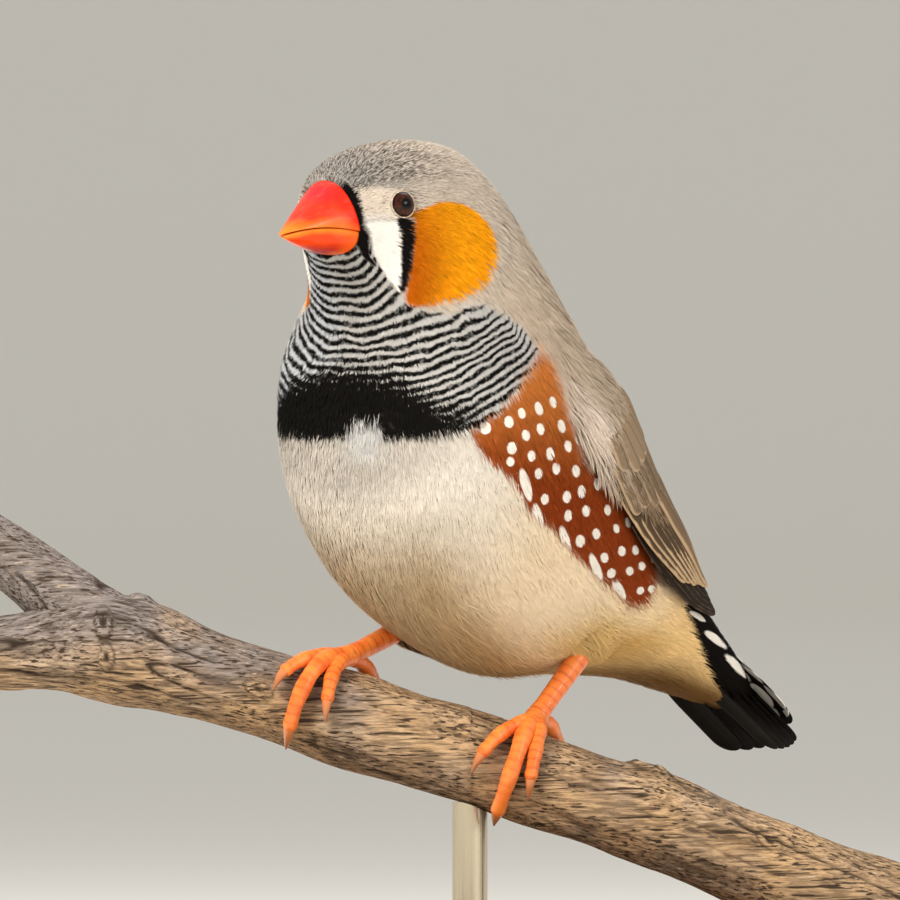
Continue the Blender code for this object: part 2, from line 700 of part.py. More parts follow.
BASE_PROFILE = [
    (0, BASE_H),
    (BASE_R - 1.2, BASE_H),
    (BASE_R, BASE_H - 1.2),
    (BASE_R, 0.8),
    (BASE_R - 0.8, 0),
    (0, 0),
]
base = turned("stand_base", BASE_PROFILE, 0.0, FINCH)
paint(base, "stand_base", (0.20, 0.11, 0.06), 0.45)

ROD_FOOT = BASE_H + GAP
ROD_PROFILE = [
    (0, ROD_TOP - ROD_FOOT),
    (ROD_R, ROD_TOP - ROD_FOOT),
    (ROD_R, 2.9),
    (ROD_R + 0.6, 2.3),
    (FLANGE_R - 0.6, 2.0),
    (FLANGE_R, 1.4),
    (FLANGE_R, 0),
    (0, 0),
]
rod = turned("stand_rod", ROD_PROFILE, ROD_FOOT, FINCH)
cut(rod, grown_perch)
paint(rod, "stand_rod", (0.55, 0.45, 0.25), 0.3, 1.0)

for spare in list(CUTTERS.objects):
    bpy.data.objects.remove(spare, do_unlink=True)
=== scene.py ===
"""Male zebra finch on a cut length of branch: the finish of every surface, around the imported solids.

Shapes are worked out in millimetres and turned to metres when a mesh is made. The bird faces -Y and its left
side is +X. On the body, u runs from the bill (0) to the tail (15), v is the angle round from the belly by the
left side, and a is the angle from the middle of the back in degrees.
"""
import math

import bpy
import numpy as np
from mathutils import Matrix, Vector


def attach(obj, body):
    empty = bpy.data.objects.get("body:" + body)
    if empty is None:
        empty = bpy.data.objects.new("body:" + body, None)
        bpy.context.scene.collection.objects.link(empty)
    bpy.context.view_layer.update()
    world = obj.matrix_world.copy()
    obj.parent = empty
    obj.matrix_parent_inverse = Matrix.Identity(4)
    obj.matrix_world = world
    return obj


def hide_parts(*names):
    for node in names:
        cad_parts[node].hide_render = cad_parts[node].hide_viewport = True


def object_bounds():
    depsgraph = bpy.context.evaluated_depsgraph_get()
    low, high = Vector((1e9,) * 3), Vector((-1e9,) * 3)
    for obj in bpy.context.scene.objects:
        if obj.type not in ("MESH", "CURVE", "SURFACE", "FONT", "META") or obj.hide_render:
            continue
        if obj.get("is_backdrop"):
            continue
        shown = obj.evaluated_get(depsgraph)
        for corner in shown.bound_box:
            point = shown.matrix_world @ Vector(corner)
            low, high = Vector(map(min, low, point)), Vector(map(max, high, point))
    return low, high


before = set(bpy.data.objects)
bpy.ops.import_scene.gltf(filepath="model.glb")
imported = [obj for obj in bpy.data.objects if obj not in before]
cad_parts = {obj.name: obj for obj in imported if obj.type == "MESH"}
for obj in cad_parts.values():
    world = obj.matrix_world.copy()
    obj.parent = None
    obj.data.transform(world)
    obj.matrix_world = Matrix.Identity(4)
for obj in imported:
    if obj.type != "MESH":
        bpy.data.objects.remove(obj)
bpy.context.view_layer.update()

# Skin: one closed surface from the bill to the tail, under the feathers. It carries the same markings as the
# feathers, so that nothing plain shows between them. It lies half a millimetre inside the solids.

MM = 0.001
SKIN_DEPTH = 0.5

# Each row: back point (forward, up), belly point (forward, up), half width, egg, fullness, sway to the left
BODY = np.array([
    [28.0, 94.8, 26.6, 86.0, 4.2, 0.12, 0.07, 0.0],
    [24.6, 96.7, 24.7, 83.9, 5.5, 0.00, 0.09, 0.0],
    [19.6, 98.4, 23.6, 81.0, 7.0, -0.05, 0.08, 0.1],
    [13.0, 99.3, 23.2, 77.8, 8.3, -0.03, 0.07, 0.3],
    [5.2, 98.3, 23.2, 74.0, 9.4, 0.09, 0.06, -0.1],
    [-1.2, 94.4, 22.9, 69.6, 12.2, 0.19, 0.06, -0.8],
    [-5.6, 87.6, 22.5, 64.8, 14.4, 0.18, 0.06, -0.45],
    [-10.6, 79.6, 21.5, 59.4, 16.5, 0.13, 0.04, -0.15],
    [-15.2, 71.6, 19.4, 53.4, 17.2, 0.05, 0.03, 0.1],
    [-20.0, 63.6, 15.2, 47.0, 16.0, 0.00, 0.02, 0.5],
    [-24.8, 56.8, 8.2, 42.2, 13.9, -0.03, 0.02, 0.9],
    [-29.4, 51.8, -1.8, 38.5, 11.5, -0.05, 0.02, 0.9],
    [-34.5, 48.5, -12.0, 38.6, 9.3, -0.03, 0.02, 0.6],
    [-39.8, 44.3, -26.0, 38.0, 7.1, 0.00, 0.02, 0.4],
    [-44.3, 40.0, -37.0, 36.0, 5.4, 0.00, 0.02, 0.5],
    [-47.6, 36.4, -45.0, 34.2, 2.8, 0.00, 0.02, 0.7],
])
BIRD_X = -2.41
BIRD_Y = 2.87
HEAD_TURN = math.radians(5)
NECK_FORWARD = 8.0


def smooth_rows(rows, place):
    """Catmull-Rom values between equally spaced rows.

    At share f from row b to row c: b + f/2 (c - a + f (2a - 5b + 4c - d + f (3b - 3c + d - a))).
    """
    rows = np.asarray(rows, float)
    place = np.clip(np.asarray(place, float), 0, len(rows) - 1)
    low = np.minimum(place.astype(int), len(rows) - 2)
    f = (place - low)[..., None]
    pad = np.vstack([2 * rows[0] - rows[1], rows, 2 * rows[-1] - rows[-2]])
    a, b, c, d = (pad[low + k] for k in range(4))
    return b + 0.5 * f * (c - a + f * (2 * a - 5 * b + 4 * c - d + f * (3 * (b - c) + d - a)))


def unit(v):
    """Vectors divided by their length."""
    return v / np.maximum(np.linalg.norm(v, axis=-1, keepdims=True), 1e-12)


def run_along(line):
    """Length run at each point of a line: the sum of the steps before it."""
    return np.concatenate([[0], np.cumsum(np.linalg.norm(np.diff(line, axis=0), axis=1))])


def once_round(count):
    """Even angles once round, in radians."""
    return np.linspace(0, 2 * math.pi, count, endpoint=False)


def circle(turn, first, second):
    """Unit circle through two directions: first times cos turn plus second times sin turn."""
    return np.cos(turn)[..., None] * first + np.sin(turn)[..., None] * second


def smooth(x, low, high):
    """0 below low, 1 above high, and 3t2 - 2t3 between."""
    t = np.clip((x - low) / (high - low), 0, 1)
    return t * t * (3 - 2 * t)


def wrapped(v):
    """An angle brought between minus and plus half a turn."""
    return (v + math.pi) % (2 * math.pi) - math.pi


def from_back(v):
    """Degrees from the middle of the back, 0 to 180, for an angle round from the belly."""
    return 180 - np.degrees(np.abs(wrapped(v)))


def placed(point, turn=0.0):
    """Bird coordinates (left, forward, up) to world: forward becomes -y, turned about the neck."""
    point = np.asarray(point, float)
    x, y = point[..., 0], NECK_FORWARD - point[..., 1]
    c, s = np.cos(turn), np.sin(turn)
    return np.stack([x * c - y * s + BIRD_X, x * s + y * c - NECK_FORWARD + BIRD_Y, point[..., 2]], -1)


def surface(u, v):
    """Plumage surface: middle - half cos v along the slanted section, half width times sin v across it."""
    u, v = np.broadcast_arrays(np.asarray(u, float), np.asarray(v, float))
    row = smooth_rows(BODY, u)
    middle = (row[..., 0:2] + row[..., 2:4]) / 2
    half = (row[..., 0:2] - row[..., 2:4]) / 2
    full = 1 + row[..., 6] * np.sin(2 * v) ** 2
    along = middle - half * (np.cos(v) * full)[..., None]
    side = np.sin(v) * (1 + row[..., 5] * np.cos(v)) * full * row[..., 4] + row[..., 7]
    return placed(np.stack([side, along[..., 0], along[..., 1]], -1), HEAD_TURN * smooth(6.5 - u, 0, 3.0))


def slopes(u, v):
    """Change of the surface with u and with v, from points a thousandth to both sides."""
    e = 1e-3
    return ((surface(u + e, v) - surface(u - e, v)) / (2 * e),
            (surface(u, v + e) - surface(u, v - e)) / (2 * e))


def lifted(u, v, lift):
    """Surface point plus lift times the outward normal, and that normal."""
    with_u, with_v = slopes(u, v)
    out = unit(np.cross(with_u, with_v))
    return surface(u, v) + out * np.asarray(lift, float)[..., None], out


def stepped(u, v, way):
    """Steps in u and v that move one millimetre along a direction lying in the surface."""
    su, sv = slopes(u, v)
    uu, uv, vv = (su * su).sum(-1), (su * sv).sum(-1), (sv * sv).sum(-1)
    ru, rv = (way * su).sum(-1), (way * sv).sum(-1)
    det = uu * vv - uv * uv
    return (vv * ru - uv * rv) / det, (uu * rv - uv * ru) / det


def make_piece(name, points, faces, material, normals=None):
    """A smooth mesh object at the origin, from points in millimetres and lists of four and three corners."""
    quads, tris = faces
    corners = np.concatenate([np.ravel(quads), np.ravel(tris)]).astype(np.int32)
    sizes = np.concatenate([np.full(len(quads), 4), np.full(len(tris), 3)])
    mesh = bpy.data.meshes.new(name)
    mesh.vertices.add(len(points))
    mesh.vertices.foreach_set("co", (np.asarray(points) * MM).astype(np.float32).ravel())
    mesh.loops.add(len(corners))
    mesh.loops.foreach_set("vertex_index", corners)
    mesh.polygons.add(len(sizes))
    mesh.polygons.foreach_set("loop_start", (np.cumsum(sizes) - sizes).astype(np.int32))
    mesh.update(calc_edges=True)
    mesh.shade_smooth()
    mesh.materials.append(material)
    if normals is not None:
        mesh.normals_split_custom_set_from_vertices(normals.astype(np.float32))
    thing = bpy.data.objects.new(name, mesh)
    bpy.context.scene.collection.objects.link(thing)
    return thing


NO_TRIANGLES = np.zeros((0, 3), int)


def grid_faces(rows, around, closed=True):
    """Quads over a grid of rows, closed around where the last column meets the first."""
    i, j = np.meshgrid(np.arange(rows - 1), np.arange(around if closed else around - 1), indexing="ij")
    k = (j + 1) % around
    quads = np.stack([i * around + j, i * around + k, (i + 1) * around + k, (i + 1) * around + j], -1)
    return quads.reshape(-1, 4)


def capped(rows, around):
    """A closed grid with a fan of triangles to an extra point at each end."""
    j = np.arange(around)
    k = (j + 1) % around
    first, last = rows * around, rows * around + 1
    low = np.stack([k, j, np.full(around, first)], -1)
    high = np.stack([(rows - 1) * around + j, (rows - 1) * around + k, np.full(around, last)], -1)
    return grid_faces(rows, around), np.concatenate([low, high])


def sweep(rings):
    """Points and faces of a closed body through rings, closed at the middle of each end."""
    rings = np.asarray(rings, float)
    ends = np.stack([rings[0].mean(0), rings[-1].mean(0)])
    points = np.concatenate([rings.reshape(-1, 3), ends])
    quads, tris = capped(*rings.shape[:2])
    cut_quads = np.concatenate([quads[:, :3], quads[:, [0, 2, 3]], tris])
    a, b, c = (points[cut_quads[:, k]] - points[0] for k in range(3))
    if (a * np.cross(b, c)).sum() < 0:
        quads, tris = quads[:, ::-1], tris[:, ::-1]
    return points, (quads, tris)


def gathered(bodies):
    """Several bodies' points and faces as one."""
    points, quads, tris = [], [], []
    start = 0
    for body_points, (body_quads, body_tris) in bodies:
        points.append(body_points)
        quads.append(body_quads + start)
        tris.append(body_tris + start)
        start += len(body_points)
    return np.concatenate(points), (np.concatenate(quads), np.concatenate(tris))


def put(thing, name, kind, values):
    """Store one value, vector or colour for each point."""
    slot = {"FLOAT": "value", "FLOAT_VECTOR": "vector", "FLOAT_COLOR": "color"}[kind]
    made = thing.data.attributes.new(name, kind, "POINT")
    made.data.foreach_set(slot, np.asarray(values, np.float32).ravel())


def with_ends(grid, first=0, last=0):
    """The values of a grid's points and of the two that close its ends."""
    return np.concatenate([np.ravel(grid), [first, last]])


def put_map(thing, name, per_point):
    """A UV map from one place for each point."""
    corner = np.zeros(len(thing.data.loops), np.int32)
    thing.data.loops.foreach_get("vertex_index", corner)
    made = thing.data.uv_layers.new(name=name)
    made.data.foreach_set("uv", np.asarray(per_point, np.float32)[corner].ravel())


def add(tree, kind, inputs=None, **settings):
    """One shader node with its settings, and its inputs linked or set."""
    made = tree.nodes.new(kind)
    for key, value in settings.items():
        setattr(made, key, value)
    for key, value in (inputs or {}).items():
        if isinstance(value, bpy.types.NodeSocket):
            tree.links.new(value, made.inputs[key])
        else:
            made.inputs[key].default_value = value
    return made


def new_material(name, **shader_inputs):
    """A material with its Principled shader's plain values set."""
    material = bpy.data.materials.new(name)
    material.use_nodes = True
    shader = material.node_tree.nodes["Principled BSDF"]
    for key, value in shader_inputs.items():
        shader.inputs[key.replace("_", " ")].default_value = value
    return material, material.node_tree, shader


def mix(tree, mask, first, second):
    """First colour where the mask is 0, second where it is 1."""
    made = add(tree, "ShaderNodeMix", data_type="RGBA")
    for key, value in (("Factor", mask), (6, first), (7, second)):
        if isinstance(value, bpy.types.NodeSocket):
            tree.links.new(value, made.inputs[key])
        else:
            made.inputs[key].default_value = value if key == "Factor" else (*value, 1)
    return made.outputs[2]


def math_node(tree, operation, *values):
    """One Math node's result."""
    return add(tree, "ShaderNodeMath", dict(enumerate(values)), operation=operation).outputs[0]


def plus(tree, first, second):
    """The sum of two values."""
    return math_node(tree, "ADD", first, second)


def less(tree, first, second):
    """The first value less the second."""
    return math_node(tree, "SUBTRACT", first, second)


def times(tree, first, second):
    """The product of two values."""
    return math_node(tree, "MULTIPLY", first, second)


def stored(tree, name, output="Fac"):
    """A value, vector or colour stored on the points of the piece."""
    return add(tree, "ShaderNodeAttribute", attribute_name=name).outputs[output]


def object_place(tree):
    """Object coordinates, in metres."""
    return add(tree, "ShaderNodeTexCoord").outputs["Object"]


def stretched(tree, place, scale, turn=(0, 0, 0)):
    """A place turned and scaled along each axis."""
    return add(tree, "ShaderNodeMapping", {"Vector": place, "Rotation": turn, "Scale": scale}).outputs[0]


def noise(tree, place, scale, detail, **more):
    """Cloudy noise, about 0.5, its scale in clouds to the metre."""
    inputs = {"Vector": place, "Scale": scale, "Detail": detail, **more}
    return add(tree, "ShaderNodeTexNoise", inputs).outputs["Fac"]


def dress(tree, shader, colour, height=None, strength=0.0, depth=0.0001):
    """Link a colour to the shader, and a height as a bump of a strength and a depth in metres."""
    tree.links.new(colour, shader.inputs["Base Color"])
    if height is not None:
        bump = add(tree, "ShaderNodeBump", {"Height": height, "Strength": strength, "Distance": depth})
        tree.links.new(bump.outputs[0], shader.inputs["Normal"])


def ramp(tree, value, low, high, to_low=0.0, to_high=1.0):
    """A value mapped from low..high to to_low..to_high, held at both ends."""
    inputs = {"Value": value, "From Min": low, "From Max": high, "To Min": to_low, "To Max": to_high}
    return add(tree, "ShaderNodeMapRange", inputs).outputs["Result"]


# Markings: a zebra finch's plumage as patches of colour on the body, for the skin and for every feather.
# Their edges are lines of u against the angle from the middle of the back, laid on by formula.

FAR_OFF = 9.0
LINE_REACH = 1.5
U_STEPS = np.linspace(0, 15, 61)
SIDE_RUN = run_along(surface(U_STEPS, math.pi / 2))
BELLY_RUN = run_along(surface(U_STEPS, 0.0))
GIRTH = surface(U_STEPS[:, None], np.linspace(0, math.pi, 31)[None])
GIRTH = np.linalg.norm(np.diff(GIRTH, axis=1), axis=2).sum(1)


def flat(u, a):
    """Millimetres along the body's side, and round it from its side line: (a - 90) / 180 of the girth."""
    return np.interp(u, U_STEPS, SIDE_RUN), (np.abs(a) - 90) / 180 * np.interp(u, U_STEPS, GIRTH)


def inside(u, a, corners):
    """Signed distance in millimetres, above zero inside a smooth closed line through (u, a) corners."""
    corners = np.array(corners, float)
    x0, y0 = flat(corners[:, 0], corners[:, 1])
    bends = np.stack([x0, y0], 1)
    ringed = np.concatenate([bends[-1:], bends, bends[:2]])
    line = smooth_rows(ringed, 1 + np.arange(0, len(bends), 0.2))
    x, y = flat(u, a)
    nearest = np.full(np.shape(x), FAR_OFF)
    within = np.zeros(np.shape(x), bool)
    low, high = line.min(0) - LINE_REACH, line.max(0) + LINE_REACH
    close = (x > low[0]) & (x < high[0]) & (y > low[1]) & (y < high[1])
    px, py = x[close], y[close]
    best = np.full(px.shape, FAR_OFF ** 2)
    odd = np.zeros(px.shape, bool)
    for (ax, ay), (bx, by) in zip(line, np.roll(line, -1, axis=0)):
        dx, dy = bx - ax, by - ay
        t = np.clip(((px - ax) * dx + (py - ay) * dy) / (dx * dx + dy * dy + 1e-12), 0, 1)
        best = np.minimum(best, (px - ax - t * dx) ** 2 + (py - ay - t * dy) ** 2)
        odd ^= ((ay > py) != (by > py)) & (px < ax + (py - ay) * dx / (dy if abs(dy) > 1e-12 else 1e-12))
    nearest[close] = np.sqrt(best)
    within[close] = odd
    return np.where(within, nearest, -nearest)


CHEEK = [(2.24, 88), (2.36, 80), (2.62, 75), (2.95, 71), (3.60, 67), (4.15, 65), (4.58, 66), (4.84, 72),
         (4.92, 80), (4.84, 90), (4.58, 101), (4.17, 112), (3.70, 122), (3.18, 130), (2.86, 128),
         (2.58, 117), (2.40, 102)]
WHITE_STRIPE = [(0.36, 98), (0.75, 94), (1.15, 92), (1.62, 90), (1.80, 96), (1.95, 108), (2.27, 120),
                (2.66, 130), (2.0, 132), (1.40, 130), (0.85, 124), (0.60, 108)]
BLACK_STRIPE = [(1.62, 88), (2.15, 86), (2.32, 94), (2.44, 106), (2.64, 119), (2.76, 128), (2.58, 130),
                (2.32, 122), (1.98, 110), (1.84, 97)]
LORE = [(0.08, 48), (0.53, 52), (1.10, 58), (1.50, 63), (1.85, 67), (2.15, 74), (2.15, 82), (1.75, 89),
        (1.15, 92), (0.4, 96), (0.15, 82), (0.05, 66)]
GAPE = [(-0.1, 102), (0.25, 104), (0.48, 110), (0.60, 121), (0.85, 131), (1.25, 132), (1.2, 135),
        (0.8, 137), (0.5, 137), (-0.1, 126)]
FLANK = [(6.42, 82), (6.43, 92), (6.50, 109), (6.50, 126), (7.0, 125), (7.43, 120), (7.83, 116),
         (8.20, 115), (8.55, 109), (9.35, 101), (9.8, 97), (10.25, 93), (10.62, 91), (10.78, 82),
         (10.5, 70), (10.03, 62), (9.25, 55), (8.83, 66), (8.38, 79), (8.0, 84), (7.3, 83), (6.7, 79)]
BAR_EDGE = np.array([[0, 112], [0.40, 116], [1.12, 128], [1.50, 129], [2.15, 131], [2.73, 131], [3.2, 129],
                     [3.80, 122], [4.42, 113], [4.65, 104], [5.0, 96], [5.45, 89], [5.93, 82], [6.5, 80]])
BAR_END = np.array([[78, 6.53], [90, 6.40], [108, 6.46], [124, 6.48], [130, 6.38], [138, 6.25], [154, 6.0],
                    [180, 5.85]])
BAND_TOP = np.array([[116, 6.6], [124, 6.35], [132, 5.95], [139, 5.5], [147, 4.98], [152, 4.75],
                     [169, 4.35], [180, 4.30]])
RUMP_EDGE = np.array([[11.0, 20], [11.3, 48], [11.58, 60], [12.18, 71], [12.68, 84], [13.18, 100],
                      [13.7, 119], [14.15, 128], [14.6, 136], [15, 142]])
BAR_SKEW = np.array([[0, -0.05], [1.8, 0.0], [2.6, 0.25], [3.2, 0.6], [4.0, 0.9], [5.2, 0.75], [5.8, 0.5],
                     [6.4, 0.3]])
BAR_PITCH = 1.04
BAR_SHARE = 0.54

SPOT_ROWS = (6.62, 6.98, 7.36, 7.74, 8.16, 8.6, 9.05, 9.48, 9.92, 10.36)
SPOT_STEP = 8.4
# Each row: u, degrees from the middle of the back, half width, length for its width
RUMP_SPOTS = ((11.72, 60, 0.40, 2.6), (12.27, 62, 0.60, 4.0), (12.98, 67, 0.82, 3.9), (13.80, 71, 0.92, 3.6))
EDGE_SPOTS = ((7.80, 113.5), (8.38, 112.5), (8.92, 104.5), (9.60, 96.5), (10.2, 91.5))


def spot_places():
    """White flank spots: pairs across each feather row, every second row set off by half a step."""
    spot_rng = np.random.default_rng(4)
    found = []
    for k, u_row in enumerate(SPOT_ROWS):
        low = np.interp(u_row, [6.4, 7.0, 8.8, 10.8], [122, 120, 100, 82])
        high = np.interp(u_row, [6.4, 7.3, 8.8, 10.8], [88, 83, 62, 63])
        for a in np.arange(low - 4.0 * (k % 2), high, -SPOT_STEP):
            lean = 0.012 * (low - a)
            found.append((u_row + lean + spot_rng.normal(0, 0.05), a + spot_rng.normal(0, 0.9),
                          0.60 * (1 + spot_rng.normal(0, 0.07)), 1.2))
    for u_spot, a_spot, radius, long in RUMP_SPOTS:
        found += [(u_spot, a_spot, radius, long), (u_spot + 0.2, a_spot - 42, radius, long)]
    found += [(u_spot, a_spot, 0.60, 3.6) for u_spot, a_spot in EDGE_SPOTS]
    return np.array(found)


SPOTS = spot_places()


def from_spot(u, a, pick_u, pick_a):
    """Place from the spot nearest to another place, in spot radii, along the feathers and across them."""
    x, y = flat(u, a)
    px, py = flat(pick_u, pick_a)
    sx, sy = flat(SPOTS[:, 0], SPOTS[:, 1])
    radii, longs = SPOTS[:, 2], SPOTS[:, 3]
    nearest = (np.hypot((px[..., None] - sx) / longs, py[..., None] - sy) / radii).argmin(-1)
    cx, cy, radius, long = sx[nearest], sy[nearest], radii[nearest], longs[nearest]
    while cx.ndim < x.ndim:
        cx, cy, radius, long = cx[..., None], cy[..., None], radius[..., None], long[..., None]
    return (x - cx) / long / radius, (y - cy) / radius


def blend(low, high, share):
    """Colour between two, by a share for each point."""
    share = np.clip(share, 0, 1)[..., None]
    return np.asarray(low) * (1 - share) + np.asarray(high) * share


def bar_phase(u, v):
    """Bars counted down the throat, slipping tailward by skew times the squared angle from the belly."""
    w = np.abs(wrapped(v))
    right = 1 - 0.6 * smooth(-np.sin(v), 0.1, 0.7)
    at = u - np.interp(u, *BAR_SKEW.T) * right * np.minimum(w, 1.6) ** 2
    run = np.interp(at, U_STEPS, BELLY_RUN) + np.minimum(at, 0) * 2.5
    return (run - 2.0) / BAR_PITCH


CROWN_GREY = (0.37, 0.34, 0.315)
NAPE_GREY = (0.56, 0.475, 0.39)
BACK_GREY = (0.54, 0.435, 0.335)
BACK_BROWN = (0.36, 0.255, 0.17)
DOWN_WHITE = (0.80, 0.68, 0.59)
BREAST_WHITE = (0.72, 0.675, 0.61)
BELLY_CREAM = (0.84, 0.69, 0.49)
VENT_BUFF = (0.78, 0.54, 0.25)
UNDERTAIL_PAINTED_SHADE = (0.31, 0.185, 0.07)
WHITE = (1.0, 1.0, 1.0)
BELLY_PAINTED_SHADE = (0.63, 0.52, 0.37)
BAND_SHADE = (0.68, 0.67, 0.67)
VENT_PAINTED_SHADE = (0.78, 0.67, 0.44)
RUMP_BLACK = (0.006, 0.0045, 0.004)
BAR_GREY = (0.52, 0.51, 0.50)
BAR_PAINTED_COOL_SHADE = (0.52, 0.545, 0.59)
BAND_BLACK = (0.003, 0.003, 0.0025)
NOTCH_GREY = (0.55, 0.56, 0.57)
FLANK_ORANGE = (0.55, 0.18, 0.038)
FLANK_CHESTNUT = (0.24, 0.042, 0.008)
LORE_BUFF = (0.74, 0.64, 0.54)
LORE_WHITE = (0.84, 0.79, 0.73)
LORE_FLECK = (0.30, 0.24, 0.19)
STRIPE_WHITE = (0.93, 0.90, 0.86)
STRIPE_BLACK = (0.007, 0.006, 0.006)
CHEEK_DEEP = (0.50, 0.108, 0.0035)
CHEEK_BRIGHT = (0.87, 0.345, 0.006)
NO_BARS = -0.3


def plumage(u, v, stray=0.0):
    """Colour, dark share of the bars and how far inside spotted feathers a place is.

    Each patch is laid over the ones before it, by a share that rises over its edge. The edges are lines of u
    against a, or closed lines, and stray moves every edge a little from strand to strand.
    """
    v = wrapped(v)
    a = from_back(v)
    crown = blend(CROWN_GREY, NAPE_GREY, smooth(u, 0.5, 3.5))
    mantle = blend(BACK_GREY, BACK_BROWN, smooth(u, 6.0, 8.5))
    mantle = blend(mantle, DOWN_WHITE, np.exp(-((u - 7.8) / 0.75) ** 2 - ((a - 80) / 9) ** 2))
    tint = blend(crown, mantle, smooth(u, 4.6, 6.4))

    under = blend(BREAST_WHITE, BELLY_CREAM, smooth(u + (125 - a) * 0.03, 6.8, 9.6))
    under = blend(under, VENT_BUFF, smooth(u, 9.8, 12.4))
    # Painted brown shade on the underside towards the tail.
    under = blend(under, UNDERTAIL_PAINTED_SHADE, smooth(u, 11.4, 13.4) * smooth(a, 104, 146))
    # Painted warm shade over the lower middle of the belly.
    under = under * blend(WHITE, BELLY_PAINTED_SHADE, smooth(a, 128, 160) * smooth(u, 7.0, 8.8))
    under = under * blend(BAND_SHADE, WHITE, smooth(u - (a - 150) * 0.015, 6.2, 7.4))
    # Painted warm shade over the lower side of the vent.
    vent_shade_share = smooth(a, 88, 110) * smooth(a, 146, 126) * smooth(u, 9.9, 10.9) * smooth(u, 12.8, 11.6)
    under = under * blend(WHITE, VENT_PAINTED_SHADE, vent_shade_share)
    belly = np.interp(u, [5, 6, 6.3, 9, 10.6, 11.0, 11.3, 15], [130, 120, 100, 84, 72, 58, 40, 10])
    tint = blend(tint, under, smooth((a - belly) * 0.30 + stray, -0.4, 0.4) * smooth(u, 5.0, 5.2))
    rump = (np.interp(u, *RUMP_EDGE.T) - a) * 0.12 + stray
    rump = smooth(rump, -0.25, 0.25) * smooth(u, 11.0, 11.2)
    tint = blend(tint, RUMP_BLACK, rump)

    edge = np.interp(u, *BAR_EDGE.T)
    end = np.interp(a, *BAR_END.T)
    barred = smooth((a - edge) * 0.22 + stray, -0.3, 0.5) * smooth((end - u) * 5 + stray, -0.3, 0.3)
    # The bars low on the right side take a painted bluish shade.
    tint = blend(tint, blend(BAR_GREY, BAR_PAINTED_COOL_SHADE, smooth(-v, -0.1, 0.5) * smooth(a, 100, 140)), barred)
    top = np.interp(a, *BAND_TOP.T)
    solid = smooth((u - top) * 2.6 + stray * 4.0, -1.0, 0.8) * smooth((end - u) * 5 + stray * 2, -0.4, 0.3)
    notch = np.exp(-((v - 0.20) / 0.16) ** 2) * smooth(u + stray, 5.40, 5.75)
    solid = solid * smooth(a + stray * 30, 116, 128) * (1 - notch)
    dark = np.where(barred > 0.3, BAR_SHARE * smooth(barred, 0.25, 0.9) + 0.8 * solid, NO_BARS)
    fade = smooth((a - edge) * 0.22 + stray, 0.0, 2.4)
    dark = dark - 0.22 * (1 - fade) * (barred > 0.3) * smooth(u, 3.2, 4.2)
    tint = blend(tint, BAND_BLACK, solid)
    dark = np.where(notch > 0.4, NO_BARS, dark)
    tint = blend(tint, NOTCH_GREY, 0.7 * notch * smooth(6.5 - u, 0, 0.3))

    flank = inside(u, a, FLANK) + stray
    flank_red = blend(FLANK_ORANGE, FLANK_CHESTNUT, smooth(u + (a - 90) * 0.03, 6.2, 8.6))
    tint = blend(tint, flank_red, smooth(flank / (1 + 2.2 * smooth(a, 100, 88)) + stray, -0.35, 0.25))
    dark = np.where(flank > 0, NO_BARS, dark)

    lore = inside(u, a, LORE) + stray * 1.5
    lore_tint = blend(LORE_BUFF, LORE_WHITE, smooth(a, 80, 94))
    lore_tint = blend(lore_tint, LORE_FLECK, np.asarray(np.abs(stray) > 0.18, float))
    tint = blend(tint, lore_tint, smooth(lore, -0.4, 0.6))
    white = inside(u, a, WHITE_STRIPE) + stray * 0.6
    tint = blend(tint, STRIPE_WHITE, smooth(white, -0.15, 0.2))
    cheek = inside(u, a, CHEEK) + stray * 0.4
    cheek_red = blend(CHEEK_DEEP, CHEEK_BRIGHT, smooth(u - (a - 75) * 0.035, 1.2, 3.9))
    tint = blend(tint, cheek_red, smooth(cheek, -0.15, 0.15))
    black = np.maximum(inside(u, a, BLACK_STRIPE), inside(u, a, GAPE)) + stray * 0.4
    base_edge = np.interp(a, [0, 35, 50, 122, 138, 180], [0.10, 0.12, 0.30, 0.30, 0.06, 0.04])
    base_edge = base_edge * (1 - 0.6 * (v < 0) * smooth(a, 110, 90))
    black = np.maximum(black, (base_edge - u) * 2.4 + stray)
    tint = blend(tint, STRIPE_BLACK, smooth(black, -0.08, 0.1))
    dark = np.where((lore > 0.1) | (white > -0.05) | (cheek > -0.1) | (black > 0), NO_BARS, dark)
    return tint, dark, np.maximum(flank, rump - 0.5)


plumage_finish, tree, shader = new_material(
    "plumage", Roughness=0.75, Specular_IOR_Level=0.02)
tint = stored(tree, "tint", "Color")
marks = stored(tree, "marks", "Vector")
marks = add(tree, "ShaderNodeSeparateXYZ", {0: marks}).outputs
place = object_place(tree)
waver = noise(tree, place, 330.0, 3.0)
phase = plus(tree, marks["X"], times(tree, waver, 1.4))
near_bar = times(tree, math_node(tree, "PINGPONG", phase, 0.5), 2.0)
bar_low = less(tree, marks["Y"], 0.13)
bar_high = plus(tree, marks["Y"], 0.13)
bar = ramp(tree, near_bar, bar_low, bar_high, 1.0, 0.0)
breaks = noise(tree, place, 1500.0, 2.0)
bar = times(tree, bar, ramp(tree, breaks, 0.32, 0.44, 0.72, 1.0))
barred_tint = mix(tree, bar, tint, (0.007, 0.0065, 0.006))
spot_place = stored(tree, "spot", "Vector")
spot_away = add(tree, "ShaderNodeVectorMath", {0: spot_place}, operation="LENGTH").outputs["Value"]
spot_away = plus(tree, spot_away, times(tree, waver, 0.35))
spot = ramp(tree, spot_away, 1.08, 1.28, 1.0, 0.0)
spotted = mix(tree, spot, barred_tint, (0.90, 0.85, 0.78))
dress(tree, shader, spotted)

